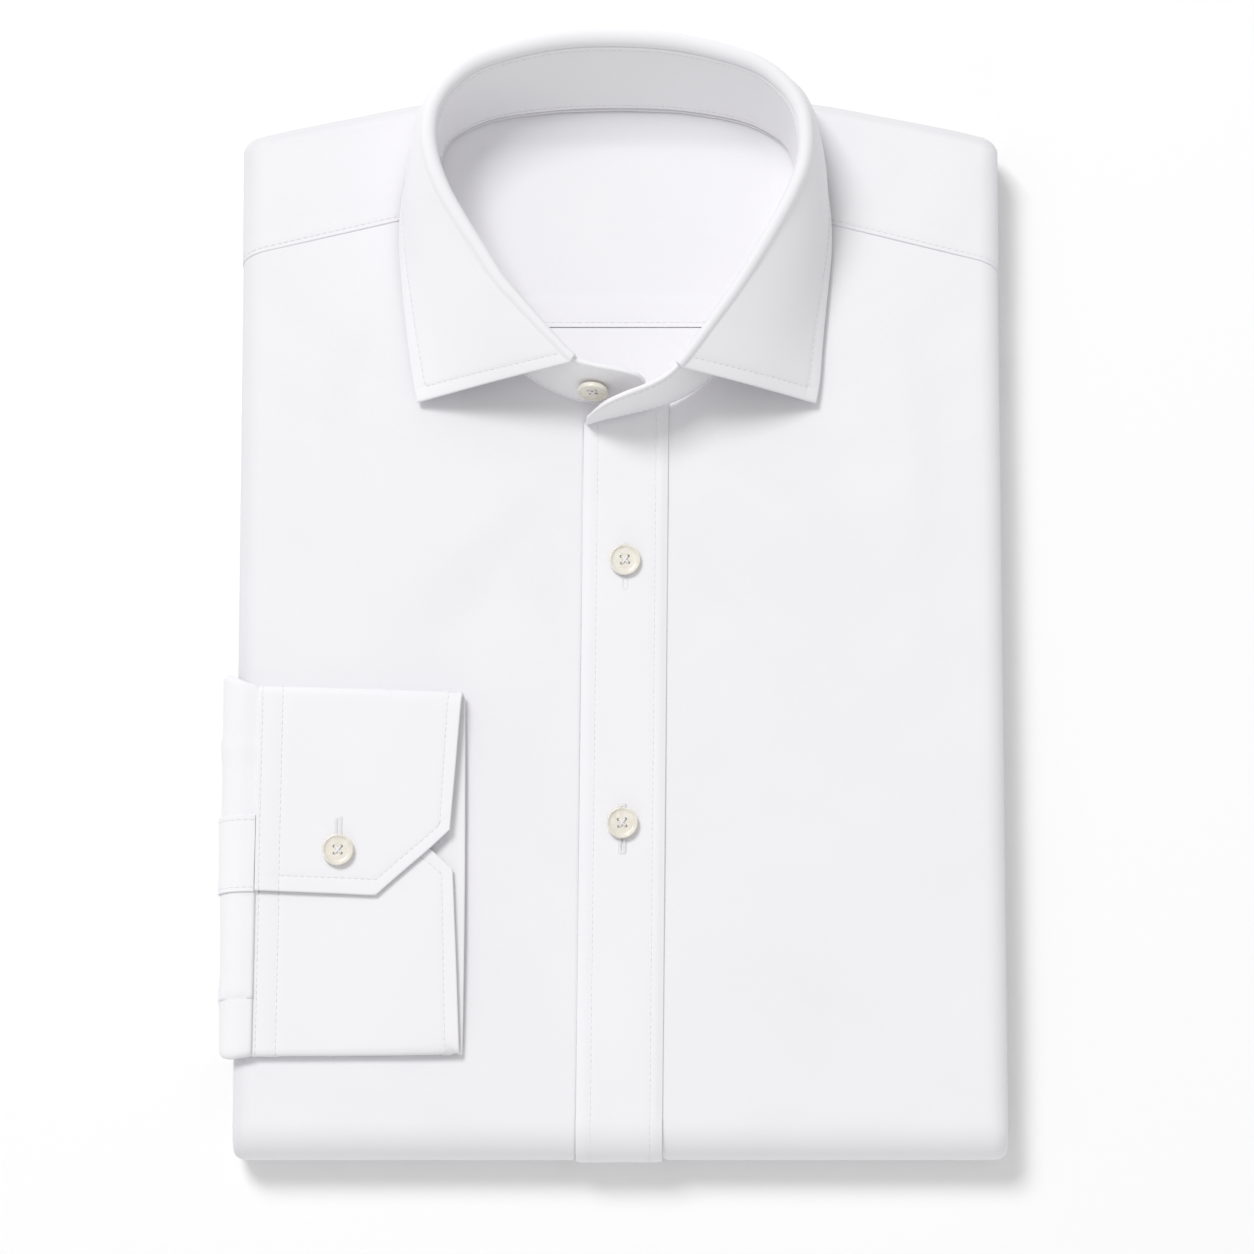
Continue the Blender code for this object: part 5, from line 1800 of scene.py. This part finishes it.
lines = []
for from_end in (False, True):
    path = inset_path(gauntlet_grid, 0, len(gauntlet_grid) - 1, GAUNTLET_STITCH, from_end)
    lines.append(grid_line(gauntlet_grid, gauntlet_normals, path, 0.0))
sew("gauntlet_stitches", lines, 0.13)

lines = []
for distance in HEM_STITCHES:
    for grid, normals in ((right_grid, right_normals), (left_grid, left_normals)):
        path = along_rows(measured(turned(grid)), distance, range(4, len(grid[0]) - 12))
        lines.append(grid_line(grid, normals, path, 0.0))
sew("hem_stitches", lines)

line = [(floor_point(x, NECK_SEAM_Y + 1.9, 0.1), UP) for x in span(-50.0, 49.0, 1.0)]
sew("inner_yoke_stitches", [line], 0.12)

# Floor, camera and light

FLOOR_SIZE = 9.0
TARGET = Vector((0.0023, 0.0, 0.025))
CAMERA_ELEVATION = 80.0
CAMERA_DISTANCE = 1.88
LENS = 154.2
SENSOR = 36.0
WORLD_STRENGTH = 0.6

bpy.ops.mesh.primitive_grid_add(x_subdivisions=4, y_subdivisions=4, size=FLOOR_SIZE)
floor = bpy.context.object
floor.name = "floor"
floor_paint, tree, shader = new_material("floor_white")
spots = add_node(tree, "ShaderNodeTexNoise", {"Scale": 2.0}).outputs["Fac"]
tones = ramp_node(tree, spots, (0.945, 0.945, 0.947), (0.955, 0.955, 0.956))
tree.links.new(tones, shader.inputs["Base Color"])
shader.inputs["Roughness"].default_value = 0.9
shader.inputs["Specular IOR Level"].default_value = 0.0
floor.data.materials.append(floor_paint)

camera_data = bpy.data.cameras.new("camera")
camera_data.lens = LENS
camera_data.sensor_width = SENSOR
camera_data.clip_end = 50.0
camera = bpy.data.objects.new("camera", camera_data)
bpy.context.scene.collection.objects.link(camera)
angle = math.radians(CAMERA_ELEVATION)
camera.location = TARGET + Vector((0.0, -math.cos(angle), math.sin(angle))) * CAMERA_DISTANCE
camera.rotation_euler = (TARGET - camera.location).to_track_quat("-Z", "Y").to_euler()
bpy.context.scene.camera = camera


def soft_light(name, spot, size, power):
    data = bpy.data.lights.new(name, "AREA")
    data.shape = "RECTANGLE"
    data.size, data.size_y = size
    data.energy = power
    lamp = bpy.data.objects.new(name, data)
    lamp.location = spot
    lamp.rotation_euler = (-Vector(spot)).to_track_quat("-Z", "Y").to_euler()
    bpy.context.scene.collection.objects.link(lamp)


soft_light("key", (-1.88, 2.7, 4.7), (1.85, 1.85), 173.0)
soft_light("front_fill", (-0.8, -4.0, 1.6), (3.0, 2.4), 15.0)
world = bpy.data.worlds.new("studio")
world.use_nodes = True
background = world.node_tree.nodes["Background"]
background.inputs["Color"].default_value = (1.0, 1.0, 1.0, 1.0)
background.inputs["Strength"].default_value = WORLD_STRENGTH
bpy.context.scene.world = world
bpy.context.scene.view_settings.view_transform = "Standard"
bpy.context.scene.view_settings.look = "None"
